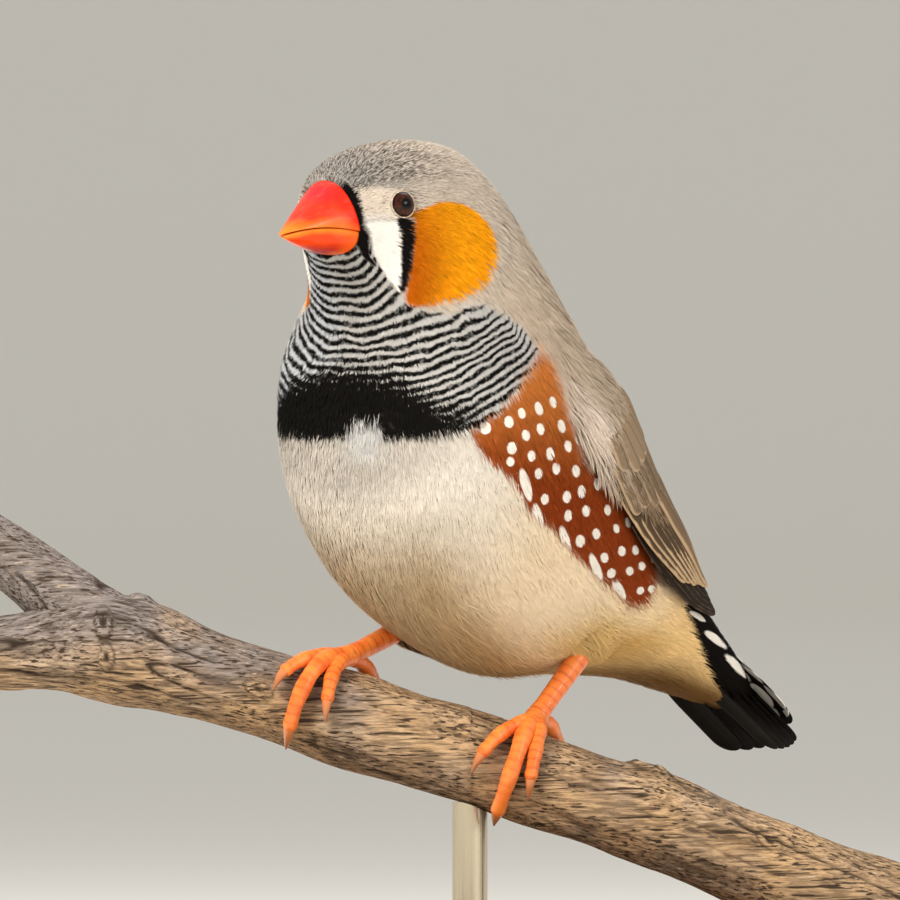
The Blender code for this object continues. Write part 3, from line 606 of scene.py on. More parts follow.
SKIN_ROWS = 200
SKIN_AROUND = 180
SKIN_FROM = 0.02
FIRST_U = 0.01
LAST_U = 14.9
NO_SPOT = 9.0
skin_u = np.linspace(SKIN_FROM, LAST_U, SKIN_ROWS)[:, None] + np.zeros((1, SKIN_AROUND))
skin_v = once_round(SKIN_AROUND)[None, :] + np.zeros((SKIN_ROWS, 1))
skin_points, _ = lifted(skin_u, skin_v, np.full(skin_u.shape, -SKIN_DEPTH))
skin = make_piece("skin", *sweep(skin_points), plumage_finish)
all_u = with_ends(skin_u, SKIN_FROM, LAST_U)
all_v = with_ends(skin_v)
skin_tint, skin_dark, skin_flank = plumage(all_u, all_v)
put(skin, "tint", "FLOAT_COLOR", np.concatenate([skin_tint, np.ones((len(all_u), 1))], 1))
put(skin, "marks", "FLOAT_VECTOR", np.stack([bar_phase(all_u, all_v), skin_dark, 0 * all_u], 1))
all_a = from_back(all_v)
skin_spot = np.stack(from_spot(all_u, all_a, all_u, all_a) + (0 * all_u,), 1)
put(skin, "spot", "FLOAT_VECTOR", np.where(skin_flank[:, None] > 0.2, skin_spot, NO_SPOT))
put_map(skin, "OFBake", np.stack([all_v / (2 * math.pi), all_u / 15], 1))
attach(skin, "root")
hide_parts("head", "neck", "torso")

# Coat: small body feathers, each a brush of fine strands rooted in the skin and lying back along the body.
# Rows of feathers overlap like shingles, tiny on the face and longer towards the tail.

EYE_U = 1.80
EYE_V = math.radians(180 - 76)
RING_R = 1.64
FEATHER_LENGTH = np.array([[0, 0.7], [0.8, 1.0], [2, 1.5], [3.5, 2.1], [5, 2.7], [7, 3.4], [10, 4.3],
                           [12.5, 5.0], [15, 5.0]])
STRAND_WIDTH = np.array([[0, 0.10], [1.5, 0.13], [4, 0.16], [8, 0.21], [12, 0.25], [15, 0.28]])
LEVELS = np.array([0.0, 0.36, 0.7, 1.0])
LEVEL_WIDTH = np.array([0.75, 1.0, 0.8])
# Each strand's seven points: their level, shade, dark of a fleck, share of painted warm shade and place on
# the strand's patch
LEVEL_OF = np.array([0, 0, 1, 1, 2, 2, 3])
LEVEL_SHADE = np.array([0.62, 0.62, 0.88, 0.88, 1.0, 1.0, 1.06])
LEVEL_SPECK = np.array([0.0, 0.0, 0.2, 0.2, 0.85, 0.85, 0.7])
LEVEL_PAINTED_SHADE = np.array([1.0, 1.0, 0.45, 0.45, 0.0, 0.0, 0.0])
STRAND_MAP = np.array([[0, 0], [1, 0], [0, 0.36], [1, 0.36], [0, 0.7], [1, 0.7], [0.5, 1]])
# Red, green and blue taken out by the painted warm shade at the roots
ROOT_PAINTED_SHADE = np.array([0.10, 0.20, 0.34])
FAN_ANGLE = 0.34
ROOT_WIDE = 0.16
ROOT_SWEPT = 0.12
EDGE_TILT = 0.22
SHORTEST = 0.25
PATCH = 0.003
eye_spots = [lifted(np.array(EYE_U), np.array(side * EYE_V), np.array(0.0)) for side in (1, -1)]


def feather_roots(u_span, v_span, closeness, rng):
    """Rows of roots spaced by a share of the feather's length, each row set off by half a step."""
    rows = []
    u = u_span[0]
    while u < u_span[1]:
        size = np.interp(u, *FEATHER_LENGTH.T)
        v = np.linspace(*v_span, 300)
        run = run_along(surface(np.full(300, u), v))
        count = max(int(run[-1] / (0.40 * size * closeness)), 1)
        want = np.arange(count) + 0.25 + 0.5 * (len(rows) % 2) + rng.normal(0, 0.2, count)
        want = want / count * run[-1]
        spread = rng.normal(0, 0.16, count)
        ahead = np.linalg.norm(slopes(np.array([u]), np.array([math.pi / 2]))[0][0])
        step = 0.42 * size * closeness / ahead
        rows.append(np.stack([np.clip(u + spread * step, FIRST_U, LAST_U), np.interp(want, run, v)], 1))
        u += step
    return np.concatenate(rows)


def clear_of_eyes(points, way, reach):
    """Strands cut where they would enter a ball round each eye: their new reach, and whether they stay."""
    stays = np.ones(reach.shape, bool)
    for spot_point, _ in eye_spots:
        gap = points - spot_point
        along = (gap * way).sum(-1)
        inner = along ** 2 - (gap ** 2).sum(-1) + RING_R ** 2
        hit = -along - np.sqrt(np.maximum(inner, 0))
        reach = np.where((inner > 0) & (hit > 0), np.minimum(reach, hit), reach)
        stays &= (gap ** 2).sum(-1) > RING_R ** 2
    return reach, stays & (reach > SHORTEST)


def paint_coat(thing, rng, paint, count, feather, u, x, uu, vv):
    """Each strand's colour as the markings give it near its tip, darker at its root, flecked on the crown."""
    total = len(u)
    stray = rng.normal(0, 0.10, total)
    mid_u = uu[:, 0] * 0.25 + uu[:, 3] * 0.75
    mid_v = vv[:, 0] * 0.25 + vv[:, 3] * 0.75
    a_mid = from_back(mid_v)
    tint, dark, flank = paint(mid_u, mid_v, stray)
    shade = (1 + rng.normal(0, 0.10, total)) * (1 + rng.normal(0, 0.05, count)[feather])
    speck = smooth(3.9 - u, 0, 2.2) * smooth(a_mid, 64, 52) * (np.abs(x + rng.normal(0, 0.2, total)) < 0.45)
    light = smooth(tint.min(1), 0.25, 0.6)
    tint = tint * np.clip(1 + (shade - 1) * (1 - 0.7 * light), 0.3, 1.4)[:, None]
    fade = 1 + (LEVEL_SHADE - 1) * (1 - 0.75 * light)[:, None]
    tint = tint[:, None] * (fade * (1 - speck[:, None] * LEVEL_SPECK))[..., None]
    # Painted warm shade between the pale feathers of the breast and belly, deepest at their roots.
    warm_shade_share = light * smooth(u, 5.6, 7.5) * smooth(a_mid, 84, 96)
    tint = tint * (1 - warm_shade_share[:, None, None] * LEVEL_PAINTED_SHADE[:, None] * ROOT_PAINTED_SHADE)
    put(thing, "tint", "FLOAT_COLOR", np.concatenate([tint, np.ones((total, 7, 1))], 2))
    at_u, at_v = uu[:, LEVEL_OF], vv[:, LEVEL_OF]
    ragged = rng.normal(0, 0.05, total)[:, None] + rng.normal(0, 0.04, count)[feather][:, None]
    marks = np.stack([bar_phase(at_u, at_v) + ragged, np.repeat(dark[:, None], 7, 1), 0 * at_u], -1)
    put(thing, "marks", "FLOAT_VECTOR", marks)
    spots = np.full((total, 7, 3), NO_SPOT)
    marked = flank > 0.1
    if marked.any():
        spots[marked, :, 0], spots[marked, :, 1] = from_spot(
            at_u[marked], from_back(at_v)[marked], mid_u[marked], a_mid[marked])
        spots[marked, :, 2] = 0.0
    put(thing, "spot", "FLOAT_VECTOR", spots)


def coat(name, u_span, a_span, seed, strands=12, closeness=1.0, length=1.0, fine=1.0, calm=1.0, keep=None,
         over=None, fluff=0.0, paint=plumage):
    """Feathers over a stretch of the body, from one u to another and one angle from the back to another.

    From each root the strands fan out by an angle in proportion to x, from -1 to 1 across the feather, and
    each rises from the skin to the coat's top as the power 0.8 of its share of the way. It has four levels:
    three pairs of points and a tip. Closeness and length scale the rows' steps and the reach, fine scales the
    strands' width, calm the unevenness of their height, and fluff how far they stray. Keep picks the roots
    and over adds height.
    """
    rng = np.random.default_rng(seed)
    v_span = [math.radians(180 - a) for a in a_span]
    roots = feather_roots(u_span, v_span, closeness, rng)
    if keep is not None:
        roots = roots[keep(roots[:, 0], roots[:, 1])]
    count = len(roots)
    u, v = np.repeat(roots[:, :1], strands, 1), np.repeat(roots[:, 1:], strands, 1)
    x = np.linspace(-1, 1, strands)[None] + rng.normal(0, 0.10, (count, strands))
    size = np.interp(u, *FEATHER_LENGTH.T) * length * (1 + rng.normal(0, 0.06, (count, 1)))
    flow = unit(slopes(u, v)[0])
    side = np.cross(lifted(u, v, np.zeros(u.shape))[1], flow)
    fan = x * FAN_ANGLE + rng.normal(0, 0.07 + 0.10 * fluff, (count, 1))
    fan = fan + rng.normal(0, 0.05 + 0.08 * fluff, x.shape)
    way = flow * np.cos(fan)[..., None] + side * np.sin(fan)[..., None]
    reach = size * (1.05 - 0.30 * x ** 2) * (1 + rng.normal(0, 0.07, x.shape))
    offset = side * (x * ROOT_WIDE * size)[..., None] - flow * (ROOT_SWEPT * size * x ** 2)[..., None]
    du, dv = stepped(u, v, offset)
    u, v = np.clip(u + du, FIRST_U, LAST_U), v + dv
    reach, stays = clear_of_eyes(surface(u, v), way, reach)
    u, v, x, way, reach, size = (k[stays] for k in (u, v, x, way, reach, np.broadcast_to(size, x.shape)))
    feather = np.repeat(np.arange(count)[:, None], strands, 1)[stays]
    total = len(u)
    du, dv = stepped(u, v, way)
    bend = rng.normal(0, 0.05 + 0.05 * fluff, total)
    t = LEVELS[None, :]
    uu = np.clip(u[:, None] + du[:, None] * reach[:, None] * t, 0, 15)
    vv = v[:, None] + dv[:, None] * reach[:, None] * t
    vv = vv + (bend * dv * reach)[:, None] * t ** 2
    rise = SKIN_DEPTH + calm * rng.normal(0, 0.04, count)[feather]
    rise = rise + rng.normal(0, 0.025 * calm + 0.12 * fluff, total)
    lift = -SKIN_DEPTH + rise[:, None] * t ** 0.8 + (0.05 * calm * size * (1 - x ** 2))[:, None] * t
    if over is not None:
        lift = lift + over(uu, vv)
    middle, normal = lifted(uu, vv, lift)
    across = np.cross(normal, unit(np.gradient(middle, axis=1)))
    width = np.interp(u, *STRAND_WIDTH.T) * fine * (1 + rng.normal(0, 0.12, total))
    aside = across[:, :3] * (width[:, None] / 2 * LEVEL_WIDTH[None])[..., None]
    pairs = np.stack([middle[:, :3] - aside, middle[:, :3] + aside], 2).reshape(total, 6, 3)
    points = np.concatenate([pairs, middle[:, 3:]], 1)
    tilt = unit(normal + across * (EDGE_TILT * calm * x)[:, None, None])
    normals = np.concatenate([np.repeat(tilt[:, :3], 2, 1), tilt[:, 3:]], 1)
    base = np.arange(total)[:, None] * 7
    faces = np.concatenate([base + [1, 0, 2, 3], base + [3, 2, 4, 5]]), base + [5, 4, 6]
    thing = make_piece(name, points.reshape(-1, 3), faces, plumage_finish, normals.reshape(-1, 3))
    paint_coat(thing, rng, paint, count, feather, u, x, uu, vv)
    root_x = (v - min(v_span)) / (max(v_span) - min(v_span))
    root_y = (u - u_span[0]) / (u_span[1] - u_span[0])
    bake = np.stack([root_x, root_y], 1)[:, None] * 0.99
    put_map(thing, "OFBake", np.clip(bake + STRAND_MAP * PATCH, 0, 1).reshape(-1, 2))
    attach(thing, "root")


coat("coat_crown", (0.0, 5.3), (-60, 60), 11, strands=14, closeness=0.82, fine=0.9)
coat("coat_face_left", (0.0, 5.3), (179.9, 60), 12, strands=16, closeness=0.80, fine=0.85)
coat("coat_face_right", (0.0, 5.3), (-60, -179.9), 13, strands=12, closeness=0.9)
coat("coat_breast_left", (5.1, 9.6), (179.9, 62), 14, strands=28, closeness=0.82, length=1.15, fine=0.75,
     calm=0.4)
coat("coat_breast_right", (5.1, 9.6), (-62, -179.9), 15, strands=16, closeness=0.9, calm=0.5)
coat("coat_belly_left", (9.3, 14.4), (179.9, 0), 16, strands=30, closeness=0.80, length=1.25, fine=0.72,
     fluff=0.1, calm=0.35)
coat("coat_belly_right", (9.3, 14.4), (0, -179.9), 20, strands=22, closeness=0.86, length=1.25, fine=0.9,
     fluff=0.1, calm=0.35)
coat("coat_fluff", (9.0, 11.4), (179.9, 148), 21, strands=18, closeness=1.1, length=1.35, fine=0.7, fluff=1.0)
coat("coat_back", (5.1, 9.5), (-64, 64), 17, strands=16, closeness=0.85, fine=0.85)

# Bill: two mandibles of waxy, smooth horn, red above and orange below.
# They meet along the line of the mouth, and the small feathers of the face end at their bases.

BILL_TIP = 36.5
BILL_GAP = 0.12
BILL_ROWS = 60
BILL_OUTER = 41
BILL_INNER = 7


def mandible_rings(upper):
    """Sections of one mandible from base to tip: half an oval round the bill's axis, shut at the mouth."""
    t = (np.linspace(0, 1, BILL_ROWS) ** 0.9)[:, None]
    reach = 1.0 if upper else 0.94
    culmen = 94.6 - 6.2 * t ** 1.07
    keel = 86.15 + 1.9 * t ** 1.5
    width = 3.85 * np.clip(1 - t ** 1.06, 0, 1) ** 0.92 + 0.25
    edge = 88.85 + 0.5 * np.sin(math.pi * t) ** 0.8 - 0.5 * t ** 2
    middle, half = (culmen + keel) / 2, (culmen - keel) / 2
    share = np.linspace(0, 1, BILL_OUTER)[None]
    if upper:
        rim = edge
        start = np.arccos(np.clip((middle - rim) / half, -0.95, 0.95))
        v = start + (2 * math.pi - 2 * start) * share
    else:
        width = width * 0.96
        rim = np.maximum(edge - BILL_GAP, keel + 0.25)
        start = np.arccos(np.clip((middle - rim) / half, -0.95, 0.95))
        v = -start + 2 * start * share
    full = 1 + 0.05 * (1 - t) * np.sin(2 * v) ** 2
    x = width * np.sin(v) * full * (1 + 0.25 * (1 - t) * np.cos(v))
    z = middle - half * np.cos(v) * full
    z[:, [0, -1]] = rim
    inner = x[:, [-1]] + (x[:, [0]] - x[:, [-1]]) * np.linspace(0, 1, BILL_INNER + 2)[None, 1:-1]
    x = np.concatenate([x, inner], 1)
    z = np.concatenate([z, np.repeat(rim, BILL_INNER, 1)], 1)
    base = 26.3 + 1.4 * (z - 86.0) / 8.8
    y = base + (BILL_TIP - base) * reach * t
    return placed(np.stack([x, y, z], -1), HEAD_TURN), t


def bill_finish(name, body_colour, far_sheen_and_shade_colour, root_colour, rim_colour):
    """Waxy horn: painted sheen and shade far from the mouth, a colour at the base, a paler rim at the mouth,
    faint streaks.
    """
    material, tree, shader = new_material(
        name, Roughness=0.24, Specular_IOR_Level=0.2, Coat_Weight=0.08, Coat_Roughness=0.12,
        Subsurface_Weight=0.08, Subsurface_Scale=0.0008, Subsurface_Radius=(1.0, 0.25, 0.10))
    place = object_place(tree)
    streaks = stretched(tree, place, (1.0, 0.22, 1.0))
    grain = noise(tree, streaks, 900.0, 5.0)
    cloud = noise(tree, place, 260.0, 2.0)
    wander = times(tree, less(tree, cloud, 0.5), 0.9)
    colour = mix(tree, ramp(tree, cloud, 0.3, 0.7), body_colour, tuple(0.85 * c for c in body_colour))
    # The far colour is painted sheen on top of the upper mandible and painted shade under the lower.
    for mask_name, end_colour in (("far", far_sheen_and_shade_colour), ("root", root_colour), ("rim", rim_colour)):
        mask = stored(tree, mask_name)
        mask = ramp(tree, plus(tree, mask, wander), 0.12, 1.0)
        colour = mix(tree, mask, colour, end_colour)
    colour = mix(tree, ramp(tree, grain, 0.5, 0.8, 0.0, 0.10), colour, (1.0, 0.45, 0.25))
    dress(tree, shader, colour, grain, 0.12)
    return material


# For each half: its colour over most of it, far from the mouth (painted sheen on the upper, painted shade on
# the lower), at its base and along the mouth, the rim's height, and where the colour far from the mouth
# begins and ends
BILL_HALVES = {
    "upper": ((0.82, 0.030, 0.010), (0.58, 0.008, 0.022), (0.84, 0.020, 0.003), (0.92, 0.20, 0.015),
              1.5, (2.0, 4.6)),
    "lower": ((0.88, 0.058, 0.001), (0.40, 0.008, 0.002), (0.88, 0.11, 0.003), (0.95, 0.30, 0.02),
              0.9, (1.2, 2.6)),
}
for half_name, (*horn_colours, rim_high, far_sheen_and_shade_span) in BILL_HALVES.items():
    part_name = "bill_" + half_name
    rings, bill_t = mandible_rings(half_name == "upper")
    finish = bill_finish(half_name + "_bill_horn", *horn_colours)
    mandible = make_piece(part_name + "_horn", *sweep(rings), finish)
    from_rim = np.abs(rings[..., 2] - rings[:, :1, 2])
    rim_share = np.clip(1 - from_rim / rim_high, 0, 1) * (0.35 + 0.65 * np.clip(bill_t * 2, 0, 1))
    # Share of the painted sheen and shade, growing away from the mouth.
    far_sheen_and_shade_share = smooth(from_rim, *far_sheen_and_shade_span)
    root_share = np.clip(1 - bill_t / 0.30, 0, 1) + np.zeros(from_rim.shape)
    put(mandible, "far", "FLOAT", with_ends(far_sheen_and_shade_share))
    put(mandible, "rim", "FLOAT", with_ends(rim_share))
    put(mandible, "root", "FLOAT", with_ends(root_share))
    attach(mandible, "root")
    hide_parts(part_name)

# Eyes: a dark ball with a red-brown iris under a clear wet surface, sunk into the head.
# A thin ring of pale bare skin lies round each and closes the joint.

EYE_R = 1.7
EYE_SUNK = 0.85
PUPIL_R = 0.62
IRIS_R = 1.36
BALL_ROWS = 48
BALL_SIDES = 64
RING_SIDES = 96
TUBE_SIDES = 16

eye_finish, tree, shader = new_material(
    "eye_ball", Roughness=0.05, Specular_IOR_Level=0.15, Coat_Weight=0.05, Coat_Roughness=0.02)
from_axis = stored(tree, "from_axis")
spoke = noise(tree, object_place(tree), 2500.0, 4.0)
iris = mix(tree, ramp(tree, spoke, 0.35, 0.7), (0.018, 0.005, 0.003), (0.060, 0.015, 0.007))
iris = mix(tree, ramp(tree, from_axis, PUPIL_R - 0.06, PUPIL_R + 0.12), (0.002, 0.002, 0.002), iris)
iris = mix(tree, ramp(tree, from_axis, IRIS_R - 0.12, IRIS_R), iris, (0.006, 0.003, 0.002))
dress(tree, shader, iris)

lid_finish, tree, shader = new_material(
    "eye_ring", Roughness=0.55, Subsurface_Weight=0.1, Subsurface_Scale=0.0005)
bead = add(tree, "ShaderNodeTexVoronoi", {"Vector": object_place(tree), "Scale": 3200.0}).outputs["Distance"]
ring_colour = mix(tree, ramp(tree, bead, 0.1, 0.6), (0.74, 0.62, 0.50), (0.44, 0.33, 0.24))
dress(tree, shader, ring_colour, bead, 0.5)

for (spot_point, spot_out), side_name in zip(eye_spots, ("left", "right")):
    across = unit(np.cross(spot_out, [0, 0, 1.0]))
    above = np.cross(across, spot_out)
    polar = np.linspace(0.02, math.pi - 0.02, BALL_ROWS)[:, None]
    turn = once_round(BALL_SIDES)[None]
    centre = spot_point - spot_out * EYE_SUNK
    ball = np.sin(polar)[..., None] * circle(turn, across, above)
    ball = centre + EYE_R * (ball + (np.cos(polar) + 0 * turn)[..., None] * spot_out)
    eye = make_piece("eye_" + side_name + "_ball", *sweep(ball), eye_finish)
    radial = EYE_R * np.sin(polar) + 0 * turn
    radial = np.where(polar > math.pi / 2, EYE_R, radial)
    put(eye, "from_axis", "FLOAT", with_ends(radial, 0, EYE_R))
    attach(eye, "root")
    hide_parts("eye_" + side_name)
    ring_turn = once_round(RING_SIDES)[:, None]
    tube_turn = once_round(TUBE_SIDES)[None]
    wide = 1.49 + 0.11 * np.cos(tube_turn) + 0.02 * np.cos(2 * ring_turn)
    high = 0.11 * np.sin(tube_turn) - 0.06 + 0.012 * np.sin(11 * ring_turn)
    ring = spot_point + wide[..., None] * circle(ring_turn, across, above) + high[..., None] * spot_out
    i, j = np.meshgrid(np.arange(RING_SIDES), np.arange(TUBE_SIDES), indexing="ij")
    i2, j2 = (i + 1) % RING_SIDES, (j + 1) % TUBE_SIDES
    corners = ((i, j), (i2, j), (i2, j2), (i, j2))
    quads = np.stack([a * TUBE_SIDES + b for a, b in corners], -1).reshape(-1, 4)
    lid = make_piece("eye_" + side_name + "_ring", ring.reshape(-1, 3), (quads, NO_TRIANGLES), lid_finish)
    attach(lid, "root")

# Wings: long flight feathers, tertials and coverts as thin curved vanes over the side of the back, dark with
# buff fringes. Each vane has its shaft and barbs. Soft body feathers lie over the shoulder.

# Each row: u, back edge and lower edge in degrees from the middle of the back
WING = np.array([
    [7.2, 48, 74], [7.65, 34, 78], [8.3, 22, 78], [9.0, 14, 76], [9.7, 10, 73],
    [10.4, 9, 68], [11.1, 10, 62], [11.85, 18, 56], [12.5, 34, 51],
])
GAP = 0.3
VANE_ROWS = 30
VANE_COLS = 11
VANE_THIN = 0.12
# Each tier: count, root of its first and last feather, tip of its first and last, power and bow of the line
# of tips, width, level and step in level, taper, colour of the middle, colour and width of the fringe
WING_TIERS = (
    (7, (0.42, 0.93), (0.42, 0.67), (1.00, 0.90), (0.86, 0.45), 1.3, 0.0, 3.1, 0.00, 0.05, 0.70,
     (0.022, 0.014, 0.009), (0.10, 0.065, 0.04), 0.12),
    (8, (0.26, 0.96), (0.26, 0.56), (0.70, 0.84), (0.87, 0.56), 1.0, 0.0, 2.8, 0.30, 0.07, 0.88,
     (0.10, 0.062, 0.035), (0.66, 0.46, 0.27), 0.34),
    (4, (0.25, 0.62), (0.25, 0.26), (0.84, 0.54), (0.72, 0.20), 1.0, 0.0, 4.0, 0.86, 0.10, 0.84,
     (0.21, 0.135, 0.075), (0.60, 0.42, 0.25), 0.6),
    (9, (0.19, 0.90), (0.19, 0.16), (0.40, 0.90), (0.40, 0.14), 1.0, 0.05, 3.2, 0.48, 0.065, 0.82,
     (0.21, 0.14, 0.085), (0.52, 0.38, 0.24), 0.42),
    (7, (0.16, 0.82), (0.16, 0.22), (0.29, 0.86), (0.29, 0.16), 1.0, 0.02, 3.8, 0.66, 0.06, 0.76,
     (0.30, 0.21, 0.13), (0.52, 0.38, 0.25), 0.45),
)


def wing_angle(s, t):
    """Body coordinates over the folded wing: s from shoulder to tip, t from back edge to lower edge."""
    row = smooth_rows(WING, np.asarray(s, float) * (len(WING) - 1))
    return row[..., 0], np.radians(row[..., 1] + (row[..., 2] - row[..., 1]) * t)


def wing_height(s, t):
    """Height of the folded wing over the body: root of one minus a power across, fading along, and a bell."""
    across = np.clip(1 - np.abs(2 * t - 1) ** 2.6, 0, 1) ** 0.5
    along = np.clip(s / 0.35, 0, 1) ** 0.8 * np.clip((0.95 - s) / 0.6, 0, 1) ** 0.5
    return GAP + 0.35 + (0.55 + 0.9 * np.exp(-((s - 0.66) / 0.16) ** 2)) * across * along


def vane_outline(share, taper):
    """Share of a feather's width: widens from the quill as a quarter sine, rounds off after the taper."""
    grow = 0.55 + 0.45 * np.sin(np.clip(share / 0.45, 0, 1) * math.pi / 2)
    return grow * np.sqrt(np.clip(1 - np.clip((share - taper) / (1.0 - taper), 0, 1) ** 2.4, 0, 1))


def vane_camber(share, across):
    """Rise of a vane's middle over its edges: one minus the power 1.7 across, less towards the tip."""
    return (1 - np.abs(across) ** 1.7) * np.clip((1.02 - share) / 0.12, 0.3, 1)[:, None]


def vane_marks(share, half, length, across):
    """For each point of a vane: millimetres from its middle line, along it, and in from its edge."""
    x = half[:, None] * across
    y = (share * length)[:, None] + 0 * across
    edge = half[:, None] * (1 - np.abs(across))
    grid = np.stack([x, y, edge], -1)
    grid = np.concatenate([grid, grid[:, ::-1]], 1)
    return np.concatenate([grid.reshape(-1, 3), grid[[0, -1], VANE_COLS // 2]])


def wing_vane(side, root, tip, width, level, taper):
    """A thin cambered feather over the wing, from root to tip in wing coordinates (s, t)."""
    share = 1 - (1 - np.linspace(0, 1, VANE_ROWS)) ** 1.5
    s = root[0] + (tip[0] - root[0]) * share
    t = root[1] + (tip[1] - root[1]) * share
    u, angle = wing_angle(s, t)
    v = side * (math.pi - angle)
    middle, out = lifted(u, v, np.zeros(VANE_ROWS))
    ahead = unit(np.gradient(middle, axis=0))
    du, dv = stepped(u, v, unit(np.cross(out, ahead)))
    half = width / 2 * vane_outline(share, taper)
    sunk = np.clip(share / 0.35, 0, 1) ** 0.7
    tip_lift = 0.1 + 0.25 * np.clip((s - 0.72) / 0.28, 0, 1) ** 1.5
    low = wing_height(np.clip(s, 0, 1), np.clip(t, 0, 1)) - 0.45 * (1 - sunk) + level * sunk
    low = np.maximum(low + tip_lift * share ** 2, GAP + 0.1)
    across = np.linspace(-1, 1, VANE_COLS)[None]
    uu = u[:, None] + (du * half)[:, None] * across
    vv = v[:, None] + (dv * half)[:, None] * across
    top = low[:, None] + VANE_THIN + 0.14 * vane_camber(share, across)
    upper, _ = lifted(uu, vv, top)
    lower, _ = lifted(uu, vv, top - VANE_THIN)
    length = np.linalg.norm(np.diff(middle, axis=0), axis=1).sum()
    return sweep(np.concatenate([upper, lower[:, ::-1]], 1)), vane_marks(share, half, length, across)


def wing_plan(rng):
    """Root, tip, width, level, taper and colours of each feather, from the first to the last of each tier."""
    plan = []
    for tier in WING_TIERS:
        count, root_from, root_to, tip_from, tip_to, power, bow, width, level, step, taper, *colours = tier
        for i in range(count):
            k = i / (count - 1)
            shift = rng.normal(0, 0.006, 4)
            tip_s = tip_from[0] + (tip_to[0] - tip_from[0]) * k ** power + bow * math.sin(3 * k) + shift[2]
            root = (root_from[0] + (root_to[0] - root_from[0]) * k + shift[0],
                    root_from[1] + (root_to[1] - root_from[1]) * k + shift[1])
            tip = (min(tip_s, 1.0), tip_from[1] + (tip_to[1] - tip_from[1]) * k + shift[3])
            wide = width * (1 + rng.normal(0, 0.03))
            centre = np.array(colours[0]) * (1 + rng.normal(0, 0.08))
            plan.append((root, tip, wide, level + step * i, taper, centre, *colours[1:]))
    return plan


vane_finish, tree, shader = new_material("flight_feather", Roughness=0.72, Specular_IOR_Level=0.06)
vane_place = add(tree, "ShaderNodeSeparateXYZ", {0: stored(tree, "vane", "Vector")}).outputs
centre = stored(tree, "centre", "Color")
fringe = stored(tree, "fringe", "Color")
fringe_width = stored(tree, "fringe_width")
spot_mask = stored(tree, "spot")
place = object_place(tree)
from_shaft = math_node(tree, "ABSOLUTE", vane_place["X"])
barb_run = less(tree, vane_place["Y"], times(tree, from_shaft, 1.4))
wobble = noise(tree, place, 700.0, 3.0)
barb_run = plus(tree, barb_run, times(tree, wobble, 0.35))
barb = math_node(tree, "PINGPONG", barb_run, 0.12)
barb = ramp(tree, barb, 0.0, 0.12)
ragged = plus(tree, vane_place["Z"], times(tree, barb, 0.06))
ragged = plus(tree, ragged, times(tree, less(tree, wobble, 0.5), 0.5))
edge_low = times(tree, fringe_width, 0.55)
edge_high = times(tree, fringe_width, 1.25)
fringed = mix(tree, ramp(tree, ragged, edge_low, edge_high, 1.0, 0.0), centre, fringe)
shaft = ramp(tree, from_shaft, 0.05, 0.13, 1.0, 0.0)
dark_shaft = mix(tree, 0.6, fringed, (0.02, 0.014, 0.01))
fringed = mix(tree, shaft, fringed, dark_shaft)
lined = mix(tree, 0.38, fringed, (0.0, 0.0, 0.0))
fringed = mix(tree, less(tree, 1.0, barb), fringed, lined)
spotted = mix(tree, ramp(tree, plus(tree, spot_mask, times(tree, barb, 0.06)), -0.05, 0.08),
              fringed, (0.85, 0.82, 0.77))
dress(tree, shader, spotted, plus(tree, barb, times(tree, shaft, 2.0)), 0.35, 0.00008)


def feathers_piece(name, bodies, marks, colours, spots=None):
    """One piece of many vanes, with each point's place on its vane and its feather's colours."""
    thing = make_piece(name, *gathered(bodies), vane_finish)
    put(thing, "vane", "FLOAT_VECTOR", np.concatenate(marks))
    sizes = [len(m) for m in marks]
    for key, column in (("centre", 0), ("fringe", 1)):
        rows = [np.repeat([[*c[column], 1.0]], n, 0) for c, n in zip(colours, sizes)]
        put(thing, key, "FLOAT_COLOR", np.concatenate(rows))
    put(thing, "fringe_width", "FLOAT", np.concatenate([np.full(n, c[2]) for c, n in zip(colours, sizes)]))
    put(thing, "spot", "FLOAT", np.concatenate(spots) if spots else np.full(sum(sizes), -1.0))
    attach(thing, "root")
    return thing


for side, side_name in ((1, "left"), (-1, "right")):
    rng = np.random.default_rng(30)
    bodies, all_marks, colours = [], [], []
    for root, tip, width, level, taper, centre_colour, fringe_colour, fringe_size in wing_plan(rng):
        body_mesh, vane_grid = wing_vane(side, root, tip, width, level, taper)
        bodies.append(body_mesh)
        all_marks.append(vane_grid)
        colours.append((centre_colour, fringe_colour, fringe_size))
    wing = feathers_piece("wing_" + side_name + "_vanes", bodies, all_marks, colours)
    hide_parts("wing_" + side_name)


def wing_cover(u, v):
    """Height of the shoulder's soft feathers: over the wing's cushion and coverts, none beyond its edges."""
    a = from_back(v)
    s = np.interp(u, [6.4, *WING[:, 0]], [-0.14, *np.linspace(0, 1, len(WING))])
    back = np.interp(u, WING[:, 0], WING[:, 1])
    lower = np.interp(u, WING[:, 0], WING[:, 2])
    t = (a - back) / (lower - back)
    within = smooth(t, -0.35, 0.15) * smooth(t, 1.30, 0.90) * smooth(s, -0.14, 0.2)
    return within * (wing_height(np.clip(s, 0, 1), np.clip(t, 0, 1)) + 0.8)


SHOULDER_GREY = (0.54, 0.43, 0.325)
SHOULDER_BROWN = (0.33, 0.225, 0.14)
SHOULDER_BUFF = (0.60, 0.50, 0.40)
SHOULDER_WHITE = (0.86, 0.73, 0.64)
OUTSIDE = -1.0


